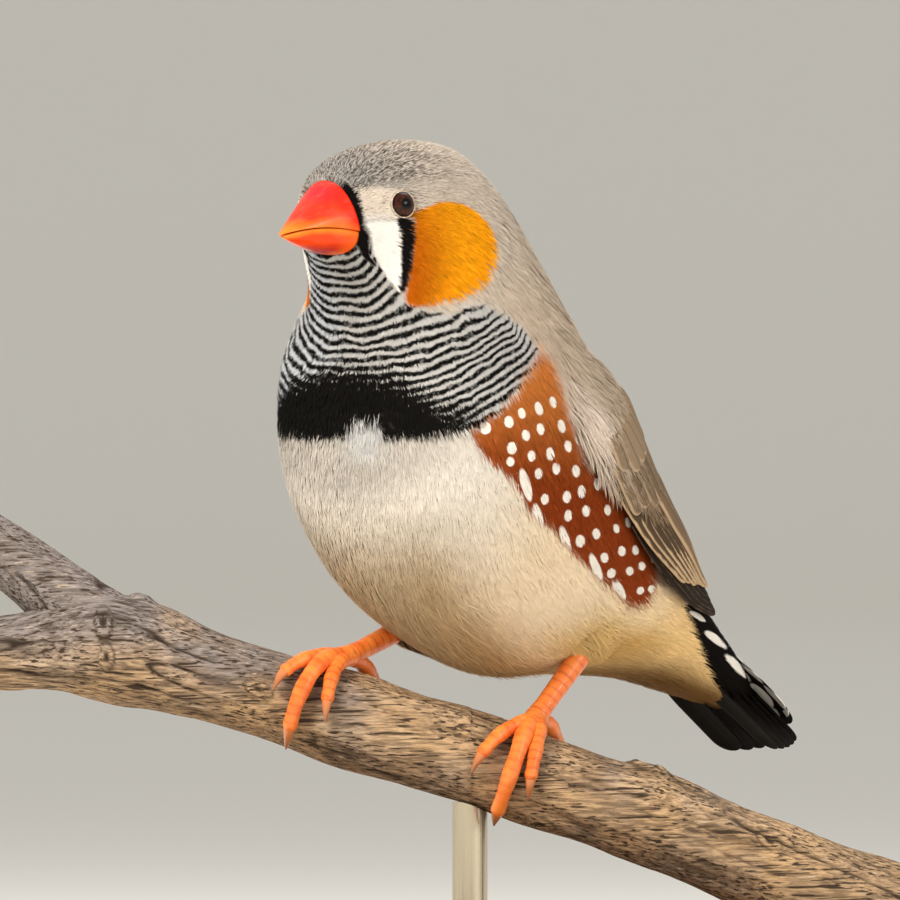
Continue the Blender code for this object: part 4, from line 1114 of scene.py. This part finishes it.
def shoulder_paint(u, v, stray):
    """Soft brown over the shoulder, paler buff and white down where the wing bends and meets the flank."""
    a = from_back(v)
    tint = blend(SHOULDER_GREY, SHOULDER_BROWN, smooth(u + stray, 7.0, 9.6))
    pale = smooth(a + stray * 20, 60, 80) * smooth(u, 9.4, 8.0)
    tint = blend(tint, SHOULDER_BUFF, pale * 0.8)
    down = np.exp(-((u - 7.85) / 0.50) ** 2 - ((a - 76) / 6.5) ** 2)
    return blend(tint, SHOULDER_WHITE, down), np.full(u.shape, NO_BARS), np.full(u.shape, OUTSIDE)


def on_shoulder(u, v):
    """True for roots over the front half of the wing and the back between the wings."""
    a = from_back(v)
    lower = np.interp(u, [6.6, 7.2, 7.8, 8.6, 9.2, 9.8, 10.3], [66, 80, 82, 76, 58, 40, 24])
    return a < lower


coat("coat_shoulder_left", (6.5, 10.4), (84, 0), 18, strands=20, closeness=0.72, fine=0.8, keep=on_shoulder,
     over=wing_cover, paint=shoulder_paint, fluff=0.3)
coat("coat_shoulder_right", (6.5, 10.4), (0, -84), 19, strands=12, closeness=0.95, keep=on_shoulder,
     over=wing_cover, paint=shoulder_paint, fluff=0.3)

# Tail: ten black-brown feathers in a low roof, rooted at the end of the body.
# Over their roots lie the black coverts with their big white spots.

TAIL_ROOT = np.array([0.3, -38.6, 42.6])
TAIL_AHEAD = unit(np.array([0.07, -0.75, -0.66]))
TAIL_TOP = unit(np.array([0.0, -0.66, 0.75]))
TAIL_SIDE = unit(np.cross(TAIL_TOP, TAIL_AHEAD))
TAIL_PAIRS = 5
TAIL_WIDE = 3.7
TAIL_COLOURS = ((0.008, 0.005, 0.003), (0.010, 0.006, 0.004), 0.1)
COVERT_PAIRS = 3
COVERT_WIDE = 3.9
COVERT_COLOURS = ((0.006, 0.0045, 0.004), (0.008, 0.006, 0.005), 0.2)
# Each row: distance of a white spot along its covert, and its half width
COVERT_SPOTS = np.array([[1.6, 0.60], [5.4, 0.82], [9.7, 0.86], [13.9, 0.66]])


def tail_vane(start, end, width, sag):
    """A thin cambered feather in tail coordinates (along, left, up), sloping as a roof from the middle."""
    share = 1 - (1 - np.linspace(0, 1, VANE_ROWS)) ** 1.5
    start, end = np.asarray(start, float), np.asarray(end, float)
    middle = start + (end - start) * share[:, None]
    middle[:, 2] += sag * np.sin(math.pi * share)
    half = width / 2 * vane_outline(share, 0.84)
    across = np.linspace(-1, 1, VANE_COLS)[None]
    aside = middle[:, 1:2] + half[:, None] * across
    up = middle[:, 2:3] - 0.05 * middle[:, 1:2] * half[:, None] * across
    top = up + VANE_THIN + 0.34 * vane_camber(share, across)
    sheets = []
    for left, high in ((aside, top), (aside[:, ::-1], (top - VANE_THIN)[:, ::-1])):
        world = TAIL_ROOT + middle[:, None, 0:1] * TAIL_AHEAD + left[..., None] * TAIL_SIDE
        sheets.append(placed(world + high[..., None] * TAIL_TOP))
    length = np.linalg.norm(end - start)
    return sweep(np.concatenate(sheets, 1)), vane_marks(share, half, length, across)


bodies, all_marks, colours, all_spots = [], [], [], []
for k in range(TAIL_PAIRS):
    for side in (1, -1):
        lift = 0.3 - 0.95 * k - 0.03 * k * k - (0.06 if side > 0 else 0.0)
        length = 19.1 - 0.35 * k - 0.13 * k * k
        end = (length, side * (1.0 + 0.5 * k) + 1.3, lift + 0.35)
        body_mesh, vane_grid = tail_vane((0.4, side * (0.5 + 0.5 * k), lift - 0.4), end, TAIL_WIDE, 0.0)
        bodies.append(body_mesh)
        all_marks.append(vane_grid)
        colours.append(TAIL_COLOURS)
        all_spots.append(np.full(len(vane_grid), OUTSIDE))
for k in range(COVERT_PAIRS):
    for side in (1, -1):
        lift = 1.6 - 0.75 * k + (0.05 if side > 0 else 0.0)
        start = (0.3, side * (0.7 + 1.0 * k), lift - 0.75)
        end = (17.6 - 2.0 * k, side * (1.3 + 1.3 * k) + 0.5, lift + 0.3)
        body_mesh, vane_grid = tail_vane(start, end, COVERT_WIDE, 0.5)
        bodies.append(body_mesh)
        all_marks.append(vane_grid)
        colours.append(COVERT_COLOURS)
        depth = np.full(len(vane_grid), OUTSIDE)
        for spot_y, spot_r in COVERT_SPOTS:
            away = np.hypot((vane_grid[:, 1] - spot_y - 0.7 * k) / 2.3, np.abs(vane_grid[:, 0]) - 1.15)
            depth = np.maximum(depth, spot_r - away)
        all_spots.append(depth)
tail = feathers_piece("tail_vanes", bodies, all_marks, colours, all_spots)
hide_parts("tail")

# Feet: horny scaled legs and toes laid round the branch, with small soft pads below.
# The nails are dark horn, pieces of their own that come out of the ends of the toes.

VIEW_TURN = math.radians(40)
RIGHT = np.array([math.cos(VIEW_TURN), math.sin(VIEW_TURN), 0.0])
NEAR = np.array([math.sin(VIEW_TURN), -math.cos(VIEW_TURN), 0.0])
UP = np.array([0.0, 0.0, 1.0])
# Each row: distance along the branch from the rod, height, radius
BRANCH = np.array([
    [-56.0, 41.0, 3.9], [-51.0, 41.4, 4.3], [-46.0, 41.9, 5.3], [-41.0, 42.0, 6.3], [-34.7, 40.4, 5.8],
    [-29.6, 38.5, 5.35], [-23.0, 36.3, 5.3], [-19.3, 35.1, 5.4], [-12.0, 32.9, 5.7], [-2.9, 30.2, 5.6],
    [3.7, 28.0, 5.45], [11.5, 25.4, 5.5], [14.8, 23.9, 5.6], [21.3, 22.2, 5.75], [29.9, 18.2, 5.9],
    [40.0, 14.2, 6.0], [51.5, 10.2, 6.0],
])
# Each toe: points of (distance along the branch, degrees from its top to the camera, height over the bark)
FEET = {
    "left": {
        "ankle": (7.6, 6.0), "heel": (9.7, -9.8, 42.4),
        1: [(7.8, 4, 0.3), (8.9, -14, 0.1), (9.7, -36, 0), (10.2, -58, 0), (10.4, -84, 0), (10.2, -104, 0)],
        2: [(7.4, 8, 0.3), (6.0, 30, 0.1), (4.2, 48, 0.1), (2.4, 68, 0), (1.0, 88, 0), (0.2, 104, 0)],
        3: [(7.4, 8, 0.3), (6.3, 44, 0.2), (5.2, 76, 0.1), (4.1, 106, 0), (3.2, 134, 0.1), (2.7, 162, 0.3)],
        4: [(7.6, 8, 0.3), (7.8, 34, 0.1), (7.5, 58, 0), (7.1, 78, 0), (6.8, 96, 0), (6.6, 112, 0)],
    },
    "right": {
        "ankle": (-13.6, 0.0), "heel": (-8.0, 1.6, 44.1),
        1: [(-13.4, 0, 0.3), (-12.3, -14, 0.1), (-11.2, -36, 0),
            (-10.6, -58, 0), (-10.4, -84, 0), (-10.6, -104, 0)],
        2: [(-13.8, 4, 0.3), (-15.8, 14, 0.1), (-18.0, 30, 0.1),
            (-20.0, 48, 0), (-21.5, 66, 0), (-22.3, 82, 0)],
        3: [(-13.8, 4, 0.3), (-16.2, 28, 0.2), (-18.0, 54, 0.1),
            (-19.5, 84, 0), (-20.4, 112, 0.1), (-20.9, 140, 0.3)],
        4: [(-13.6, 4, 0.3), (-14.9, 28, 0.1), (-15.6, 48, 0),
            (-16.0, 66, 0), (-16.3, 84, 0), (-16.4, 98, 0)],
    },
}
CLAW_LENGTH = {1: 3.4, 2: 2.6, 3: 3.2, 4: 2.6}
TOE_ROWS = 90
TOE_SIDES = 28
CLAW_ROWS = 24
CLAW_SIDES = 18
LEG_ROWS = 120
LEG_SIDES = 32
STUB_ROWS = 40


def on_branch(s, degrees, over):
    """A point over the bark: the branch's middle plus radius and height, turned from its top to the view."""
    height, radius = np.interp(s, BRANCH[:, 0], BRANCH[:, 1]), np.interp(s, BRANCH[:, 0], BRANCH[:, 2])
    a = np.radians(degrees)
    return s * RIGHT + height * UP + (radius + over) * (math.cos(a) * UP + math.sin(a) * NEAR)


def resampled(path, share_from, share_to, count):
    """Even points along a smooth path between two shares of its length, and the whole length."""
    fine = smooth_rows(path, np.linspace(0, len(path) - 1, 300))
    run = run_along(fine)
    want = np.linspace(share_from, share_to, count) * run[-1]
    return np.stack([np.interp(want, run, fine[:, k]) for k in range(3)], 1), run[-1]


def scaled_limb(path, radii, sides, hint, scale_length, depth):
    """Rings of a scaled limb: flat-topped bells along it, most on the upper side, and pads below."""
    ahead = unit(np.gradient(path, axis=0))
    left = unit(np.cross(ahead, hint))
    above = np.cross(left, ahead)
    turn = once_round(sides)[None]
    run = run_along(path)[:, None]
    scale = (run / scale_length) % 1.0
    ridge = np.exp(-((scale - 0.5) / 0.42) ** 6) - 0.5
    topside = 0.5 + 0.5 * np.cos(turn)
    pads = np.abs(np.sin(run / 0.55 + 1.3 * np.sin(3 * turn))) - 0.6
    r = radii[:, None] + depth * ridge * topside + 0.35 * depth * pads * (1 - topside)
    grid = path[:, None] + r[..., None] * circle(turn, above[:, None], left[:, None])
    groove = (1 - np.exp(-((scale - 0.5) / 0.42) ** 6)) * topside
    return grid, groove


leg_finish, tree, shader = new_material(
    "scaled_skin", Roughness=0.42, Subsurface_Weight=0.15, Subsurface_Scale=0.0008, Coat_Weight=0.12)
groove = stored(tree, "groove")
place = object_place(tree)
cloud = noise(tree, place, 420.0, 4.0)
grit = add(tree, "ShaderNodeTexVoronoi", {"Vector": place, "Scale": 2600.0}).outputs["Distance"]
skin_colour = mix(tree, ramp(tree, cloud, 0.3, 0.7), (0.90, 0.27, 0.050), (0.78, 0.14, 0.016))
groove = times(tree, groove, ramp(tree, cloud, 0.35, 0.6, 0.15, 0.8))
skin_colour = mix(tree, groove, skin_colour, (0.46, 0.075, 0.010))
dress(tree, shader, skin_colour, grit, 0.25, 0.00008)

claw_finish, tree, shader = new_material("claw_horn", Roughness=0.3, Coat_Weight=0.3)
along_claw = stored(tree, "along")
claw_colour = mix(tree, along_claw, (0.62, 0.20, 0.06), (0.30, 0.12, 0.05))
dress(tree, shader, claw_colour)

for side_name, foot_plan in FEET.items():
    ankle = on_branch(*foot_plan["ankle"], 1.75)
    heel = placed(np.array(foot_plan["heel"]))
    shank = unit(heel - ankle)
    bodies, grooves = [], []
    for number in (1, 2, 3, 4):
        thick = 1.12 if number == 3 else 1.0
        path = np.array([on_branch(s, a, over + GAP + thick) for s, a, over in foot_plan[number]])
        _, whole = resampled(path, 0, 1, 2)
        end = 1 - CLAW_LENGTH[number] / whole
        toe, _ = resampled(path, 0, end + 0.02, TOE_ROWS)
        share = np.linspace(0, 1, TOE_ROWS)
        radii = thick * (1 - 0.28 * share) * (1 + 0.06 * np.cos(share * 6 * math.pi))
        radii = radii * np.clip((1.03 - share) / 0.06, 0.55, 1) ** 0.5
        outward = unit(path[len(path) // 2] - on_branch(foot_plan[number][3][0], 0, -30))
        grid, groove_grid = scaled_limb(toe, radii, TOE_SIDES, outward, 0.95, 0.05)
        bodies.append(sweep(grid))
        grooves.append(with_ends(groove_grid))
        nail, _ = resampled(path, end, 1.0, CLAW_ROWS)
        drop = np.linspace(0, 1, CLAW_ROWS)
        radii = 0.62 * thick * (1 - 0.86 * drop ** 1.3)
        grid, _ = scaled_limb(nail, radii, CLAW_SIDES, outward, 50.0, 0.0)
        claw = make_piece(f"claw_{side_name}_{number}_horn", *sweep(grid), claw_finish)
        put(claw, "along", "FLOAT", with_ends(np.repeat(drop, CLAW_SIDES), 0, 1))
        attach(claw, "root")
        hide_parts(f"claw_{side_name}_{number}")
    share = np.linspace(0, 1, STUB_ROWS)
    stub = share[:, None] * shank * 2.2 + ankle - shank * 0.5
    radii = np.interp(share, [0, 0.12, 0.4, 1], [0.7, 1.22, 1.27, 1.12])
    grid, groove_grid = scaled_limb(stub, radii, LEG_SIDES, NEAR, 0.9, 0.05)
    bodies.append(sweep(grid))
    grooves.append(with_ends(groove_grid))
    foot = make_piece(f"foot_{side_name}_scales", *gathered(bodies), leg_finish)
    put(foot, "groove", "FLOAT", np.concatenate(grooves))
    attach(foot, "root")
    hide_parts(f"foot_{side_name}")
    leg_path = ankle + np.linspace(1.4, np.linalg.norm(heel - ankle), LEG_ROWS)[:, None] * shank
    grid, groove_grid = scaled_limb(leg_path, np.linspace(1.12, 1.28, LEG_ROWS), LEG_SIDES, NEAR, 1.15, 0.045)
    leg = make_piece(f"leg_{side_name}_scales", *sweep(grid), leg_finish)
    put(leg, "groove", "FLOAT", with_ends(groove_grid))
    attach(leg, "root")
    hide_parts(f"leg_{side_name}")

# Thigh tufts: soft belly feathers raised in a mound where each leg comes out.
# They close over the top of the leg, so that it comes out of the plumage with no gap.

TUFT_HIGH = 1.5
TUFT_WIDE = 2.9

for side_name, foot_plan in FEET.items():
    top = placed(np.array(foot_plan["heel"]))
    near_u, near_v = np.meshgrid(np.linspace(7, 13.5, 131), np.linspace(-1.5, 1.5, 151), indexing="ij")
    nearest = np.linalg.norm(surface(near_u, near_v) - top, axis=-1).argmin()
    tuft_u, tuft_v = near_u.ravel()[nearest], near_v.ravel()[nearest]
    tuft_middle = surface(tuft_u, tuft_v)

    def tuft_height(u, v, tuft_middle=tuft_middle):
        """Height of the mound: a bell of the distance from its middle."""
        away = np.linalg.norm(surface(u, v) - tuft_middle, axis=-1)
        return TUFT_HIGH * np.exp(-(away / TUFT_WIDE) ** 2)

    def on_tuft(u, v, tuft_middle=tuft_middle):
        """True for roots within the mound."""
        return np.linalg.norm(surface(u, v) - tuft_middle, axis=-1) < 1.7 * TUFT_WIDE

    tuft_a = 180 - math.degrees(abs(tuft_v))
    a_span = (min(tuft_a + 32, 179.9), tuft_a - 26)
    if tuft_v < 0:
        a_span = (-a_span[1], -a_span[0])
    coat("coat_thigh_" + side_name, (tuft_u - 1.4, tuft_u + 1.2), a_span, 40, strands=26, closeness=0.7,
         fine=0.7, calm=0.5, keep=on_tuft, over=tuft_height, fluff=0.4)

# Perch: a weathered length of branch with its fork, grained and cracked along its length.
# It is sawn off at both ends and rests on the rod of the stand.

PERCH_ROWS = 420
PERCH_SIDES = 132
PERCH_FROM = -56.0
PERCH_TO = 51.5
FORK_ROWS = 110
FORK_SIDES = 96


def field(x, y, around, seed):
    """Smooth random values: a table blended by 3f2 - 2f3 between whole places, repeating round in y."""
    table = np.random.default_rng(seed).uniform(-1, 1, (512, around))
    x, y = np.mod(x, 511), np.mod(y, around)
    i, j = x.astype(int), y.astype(int)
    f, g = x - i, y - j
    f, g = f * f * (3 - 2 * f), g * g * (3 - 2 * g)
    low = table[i, j] * (1 - g) + table[i, (j + 1) % around] * g
    high = table[i + 1, j] * (1 - g) + table[i + 1, (j + 1) % around] * g
    return low * (1 - f) + high * f


def bark(run, turn, seed):
    """Bark height, crack share and tone: long ridges, cracks where a drawn-out field crosses zero, grain."""
    round_share = turn / (2 * math.pi)
    sway = 0.6 * field(run * 0.08, round_share * 6, 6, seed) / 30
    ridges = field(run * 0.10, (round_share + sway) * 26, 26, seed + 1)
    fine = field(run * 0.30, (round_share + sway) * 80, 80, seed + 2)
    lumps = field(run * 0.14, round_share * 5, 5, seed + 3)
    line = np.abs(field(run * 0.045, (round_share + sway) * 17, 17, seed + 4))
    broken = smooth(field(run * 0.12, round_share * 9, 9, seed + 5), -0.1, 0.35)
    crack = smooth(line, 0.10, 0.0) * broken
    hair = smooth(np.abs(field(run * 0.09, (round_share + sway) * 60, 60, seed + 6)), 0.16, 0.0)
    hair = hair * smooth(field(run * 0.2, round_share * 14, 14, seed + 7), -0.2, 0.4)
    height = 0.16 * ridges + 0.07 * fine + 0.16 * lumps - 0.36 * crack - 0.12 * hair
    return height, np.clip(crack + 0.7 * hair, 0, 1), 0.5 + 0.35 * ridges + 0.25 * fine + 0.2 * lumps


# Each row: distance along, turn from the top to the camera, half length, half width, height, crater depth
KNOTS = np.array([
    [20.3, 0.20, 1.9, 1.25, 0.85, 1.1], [-37.2, 0.1, 1.1, 1.0, 0.6, 0.0], [-41.6, 1.1, 0.8, 1.6, 0.45, 0.5],
    [-41.2, 1.75, 0.7, 1.2, 0.35, 0.4], [34.0, 1.0, 1.2, 0.8, 0.3, 0.4], [-24.0, 1.5, 1.3, 0.8, 0.3, 0.35],
    [8.0, 2.6, 1.4, 1.0, 0.35, 0.4], [-8.0, 4.4, 1.4, 1.0, 0.4, 0.5], [28.0, 4.0, 1.3, 0.9, 0.35, 0.4],
])


def knots(run, turn, radius):
    """Height and crack share of the knots: a bell, less a narrower bell for the crater, and its rim."""
    height, crack = 0 * run * turn, 0 * run * turn
    for along, at_turn, half_long, half_wide, high, crater in KNOTS:
        off = wrapped(turn - at_turn)
        away = np.hypot((run - along) / half_long, off * radius / half_wide)
        height = height + high * np.exp(-away ** 4 * 0.5) - crater * np.exp(-(away * 2.0) ** 4)
        rim = 0.7 * np.exp(-((away - 1.25) / 0.16) ** 2)
        crack = np.maximum(crack, (crater > 0) * (np.exp(-(away * 2.0) ** 4) + rim))
    return height, crack


perch_s = np.linspace(PERCH_FROM, PERCH_TO, 34)
perch_rows = np.stack([np.interp(perch_s, BRANCH[:, 0], BRANCH[:, k]) for k in (1, 2)], 1)
perch_rows[1:-1, 0] = np.convolve(perch_rows[:, 0], [0.25, 0.5, 0.25], "valid")
rows = smooth_rows(perch_rows, np.linspace(0, 33, PERCH_ROWS))
run = np.linspace(PERCH_FROM, PERCH_TO, PERCH_ROWS)[:, None]
turn = once_round(PERCH_SIDES)[None]
lump = 0.16 * np.sin(0.31 * run) * np.cos(2 * turn + 0.7) + 0.1 * np.sin(0.53 * run + 1) * np.cos(3 * turn)
height, crack, tone = bark(run, turn, 50)
knot_height, knot_crack = knots(run, turn, 5.6)
height, crack = height + knot_height, np.maximum(crack, knot_crack)
r = rows[:, 1:2] + lump + height * np.clip((56.3 - np.abs(run + 2.25)) / 1.5, 0.2, 1)
middle = run * RIGHT + rows[:, :1] * UP
stem = sweep(middle[:, None] + r[..., None] * circle(turn, UP, NEAR))
# Each row: distance along the branch, height, distance towards the camera, radius
FORK = np.array([[-37.5, 41.5, 0.0, 4.4], [-41.5, 43.6, -0.4, 4.6], [-45.5, 46.6, -1.0, 4.3],
                 [-50.0, 50.2, -1.6, 3.8], [-56.0, 54.4, -2.2, 3.3]])
fork_path = FORK[:, :1] * RIGHT + FORK[:, 1:2] * UP + FORK[:, 2:3] * NEAR
fork_rows = smooth_rows(np.concatenate([fork_path, FORK[:, 3:]], 1), np.linspace(0, 4, FORK_ROWS))
ahead = unit(np.gradient(fork_rows[:, :3], axis=0))
left = unit(np.cross(ahead, NEAR))
above = np.cross(left, ahead)
fork_turn = once_round(FORK_SIDES)[None]
fork_run = np.linspace(0, 23, FORK_ROWS)[:, None]
fork_height, fork_crack, fork_tone = bark(fork_run, fork_turn, 70)
fork_r = fork_rows[:, 3:] + fork_height
fork = sweep(fork_rows[:, None, :3] + fork_r[..., None] * circle(fork_turn, above[:, None], left[:, None]))

bark_finish, tree, shader = new_material("weathered_bark", Roughness=0.88, Specular_IOR_Level=0.2)
DARK_WOOD = (0.05, 0.033, 0.022)
crack_mask = stored(tree, "crack")
tone_mask = stored(tree, "tone")
place = object_place(tree)
turned = stretched(tree, place, (1, 1, 1), (0, 0, -VIEW_TURN))
tilted = stretched(tree, turned, (0.11, 1, 1), (0, math.radians(17), 0))
grain = noise(tree, tilted, 2400.0, 8.0, Roughness=0.7)
long_lines = stretched(tree, tilted, (0.22, 1, 1))
lines = noise(tree, long_lines, 3600.0, 3.0)
patch = noise(tree, place, 110.0, 4.0)
colour = mix(tree, ramp(tree, tone_mask, 0.1, 0.9), (0.15, 0.097, 0.063), (0.52, 0.385, 0.27))
colour = mix(tree, ramp(tree, patch, 0.45, 0.65), colour, (0.37, 0.29, 0.225))
along_perch = add(tree, "ShaderNodeSeparateXYZ", {0: turned}).outputs["X"]
cool = stored(tree, "cool")
cool_edge = plus(tree, along_perch, times(tree, less(tree, patch, 0.5), 0.05))
cool = times(tree, cool, ramp(tree, cool_edge, -0.012, -0.034))
colour = mix(tree, cool, colour, (0.27, 0.235, 0.225))
warm = times(tree, ramp(tree, patch, 0.35, 0.6), 0.62)
colour = mix(tree, times(tree, warm, less(tree, 1.0, cool)), colour, (0.62, 0.38, 0.17))
grain_mask = ramp(tree, grain, 0.43, 0.58)
darker = mix(tree, 0.62, colour, DARK_WOOD)
colour = mix(tree, grain_mask, darker, colour)
colour = mix(tree, ramp(tree, lines, 0.545, 0.61), colour, DARK_WOOD)
colour = mix(tree, ramp(tree, lines, 0.36, 0.30, 0.0, 0.5), colour, (0.66, 0.51, 0.36))
colour = mix(tree, crack_mask, colour, (0.035, 0.023, 0.016))
dress(tree, shader, colour, grain, 0.7, 0.0003)

perch = make_piece("perch_bark", *gathered([stem, fork]), bark_finish)
put(perch, "crack", "FLOAT", np.concatenate([with_ends(crack), with_ends(fork_crack)]))
cool_share = smooth(np.cos(turn) + 0 * run, -0.5, 0.5)
fork_cool = smooth(np.cos(fork_turn) + 0 * fork_run, -0.8, 0.4)
put(perch, "cool", "FLOAT", np.concatenate([with_ends(cool_share), with_ends(fork_cool)]))
put(perch, "tone", "FLOAT", np.concatenate([with_ends(tone, 0.5, 0.5), with_ends(fork_tone, 0.5, 0.5)]))
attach(perch, "root")
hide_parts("perch")

# Stand: a turned base of dark wood and a plain rod of brushed metal with its flange, which holds the branch.
# Both are the solids themselves with better finishes.

wood_finish, tree, shader = new_material("stand_wood", Roughness=0.4, Coat_Weight=0.25, Coat_Roughness=0.25)
place = object_place(tree)
bands = stretched(tree, place, (1.0, 0.07, 1.0))
rings_noise = noise(tree, bands, 420.0, 6.0)
colour = mix(tree, ramp(tree, rings_noise, 0.35, 0.65), (0.10, 0.045, 0.02), (0.23, 0.12, 0.055))
dress(tree, shader, colour)
metal_finish, tree, shader = new_material(
    "stand_metal", Metallic=1.0, Roughness=0.32, Base_Color=(0.62, 0.54, 0.40, 1))
place = object_place(tree)
brushed = stretched(tree, place, (1.0, 1.0, 0.03))
scratch = noise(tree, brushed, 3000.0, 3.0)
tree.links.new(ramp(tree, scratch, 0.3, 0.7, 0.24, 0.42), shader.inputs["Roughness"])
for part_name, finish in (("stand_base", wood_finish), ("stand_rod", metal_finish)):
    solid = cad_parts[part_name]
    for k in range(len(solid.data.materials)):
        solid.data.materials[k] = finish

# Stage: a pale floor that curves up behind and soft light from the upper left.
# The camera looks along the photograph's line of sight.

CAMERA_AWAY = 3000.0
FILM_WIDE = 36
PICTURE_WIDE = 102.27
PICTURE_MIDDLE = RIGHT * -2.27 + UP * 64.14

floor_finish, _, _ = new_material(
    "pale_floor", Roughness=0.9, Specular_IOR_Level=0.2, Base_Color=(0.84, 0.82, 0.77, 1))
FLOOR_DEEP = 8000.0
FLOOR_BEND = 900.0
bend_turn = np.linspace(0, math.pi / 2, 12)[1:]
bend = np.stack([FLOOR_DEEP + FLOOR_BEND * np.sin(bend_turn), FLOOR_BEND - FLOOR_BEND * np.cos(bend_turn)], 1)
profile = np.concatenate([[(-FLOOR_DEEP, 0)], [(FLOOR_DEEP, 0)], bend, [(FLOOR_DEEP + FLOOR_BEND, 7000)]])
wide_steps = np.linspace(-9000, 9000, 5)
floor_points = -NEAR * profile[:, None, :1] + UP * profile[:, None, 1:] + RIGHT * wide_steps[None, :, None]
floor_faces = grid_faces(len(profile), 5, False)[:, ::-1]
floor = make_piece("floor", floor_points.reshape(-1, 3), (floor_faces, NO_TRIANGLES), floor_finish)
floor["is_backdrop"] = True

world = bpy.data.worlds.new("soft_room")
bpy.context.scene.world = world
world.use_nodes = True
world.node_tree.nodes["Background"].inputs["Color"].default_value = (0.96, 0.95, 0.92, 1)
world.node_tree.nodes["Background"].inputs["Strength"].default_value = 0.65


def soft_light(name, toward, away, size, power, colour):
    """A square lamp that faces the bird from a direction given as right, near and up shares."""
    lamp = bpy.data.lights.new(name, "AREA")
    lamp.size = size * MM
    lamp.energy = power
    lamp.color = colour
    thing = bpy.data.objects.new(name, lamp)
    bpy.context.scene.collection.objects.link(thing)
    line = unit(toward[0] * RIGHT + toward[1] * NEAR + toward[2] * UP)
    thing.location = (PICTURE_MIDDLE + line * away) * MM
    thing.rotation_mode = "QUATERNION"
    thing.rotation_quaternion = Vector(line).to_track_quat("Z", "Y")
    return thing


key_light = soft_light("key", (-0.6, 0.8, 0.9), 700, 420, 6.4, (1.0, 0.92, 0.80))
key_light.visible_glossy = False
soft_light("fill", (0.8, 0.75, 0.35), 900, 300, 1.7, (1.0, 0.96, 0.90))
soft_light("top", (0.2, -0.5, 1.0), 800, 500, 2.2, (0.93, 0.96, 1.0))
soft_light("glint", (0.86, 0.52, 0.38), 700, 64, 0.30, (1.0, 0.98, 0.95))

camera = bpy.data.objects.new("camera", bpy.data.cameras.new("camera"))
bpy.context.scene.collection.objects.link(camera)
camera.data.sensor_width = FILM_WIDE
camera.data.lens = FILM_WIDE * CAMERA_AWAY / PICTURE_WIDE
camera.data.clip_end = 40
camera.location = (PICTURE_MIDDLE + NEAR * CAMERA_AWAY) * MM
camera.rotation_euler = (math.radians(90), 0, VIEW_TURN)
bpy.context.scene.camera = camera
bpy.context.scene.view_settings.view_transform = "Standard"

low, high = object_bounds()
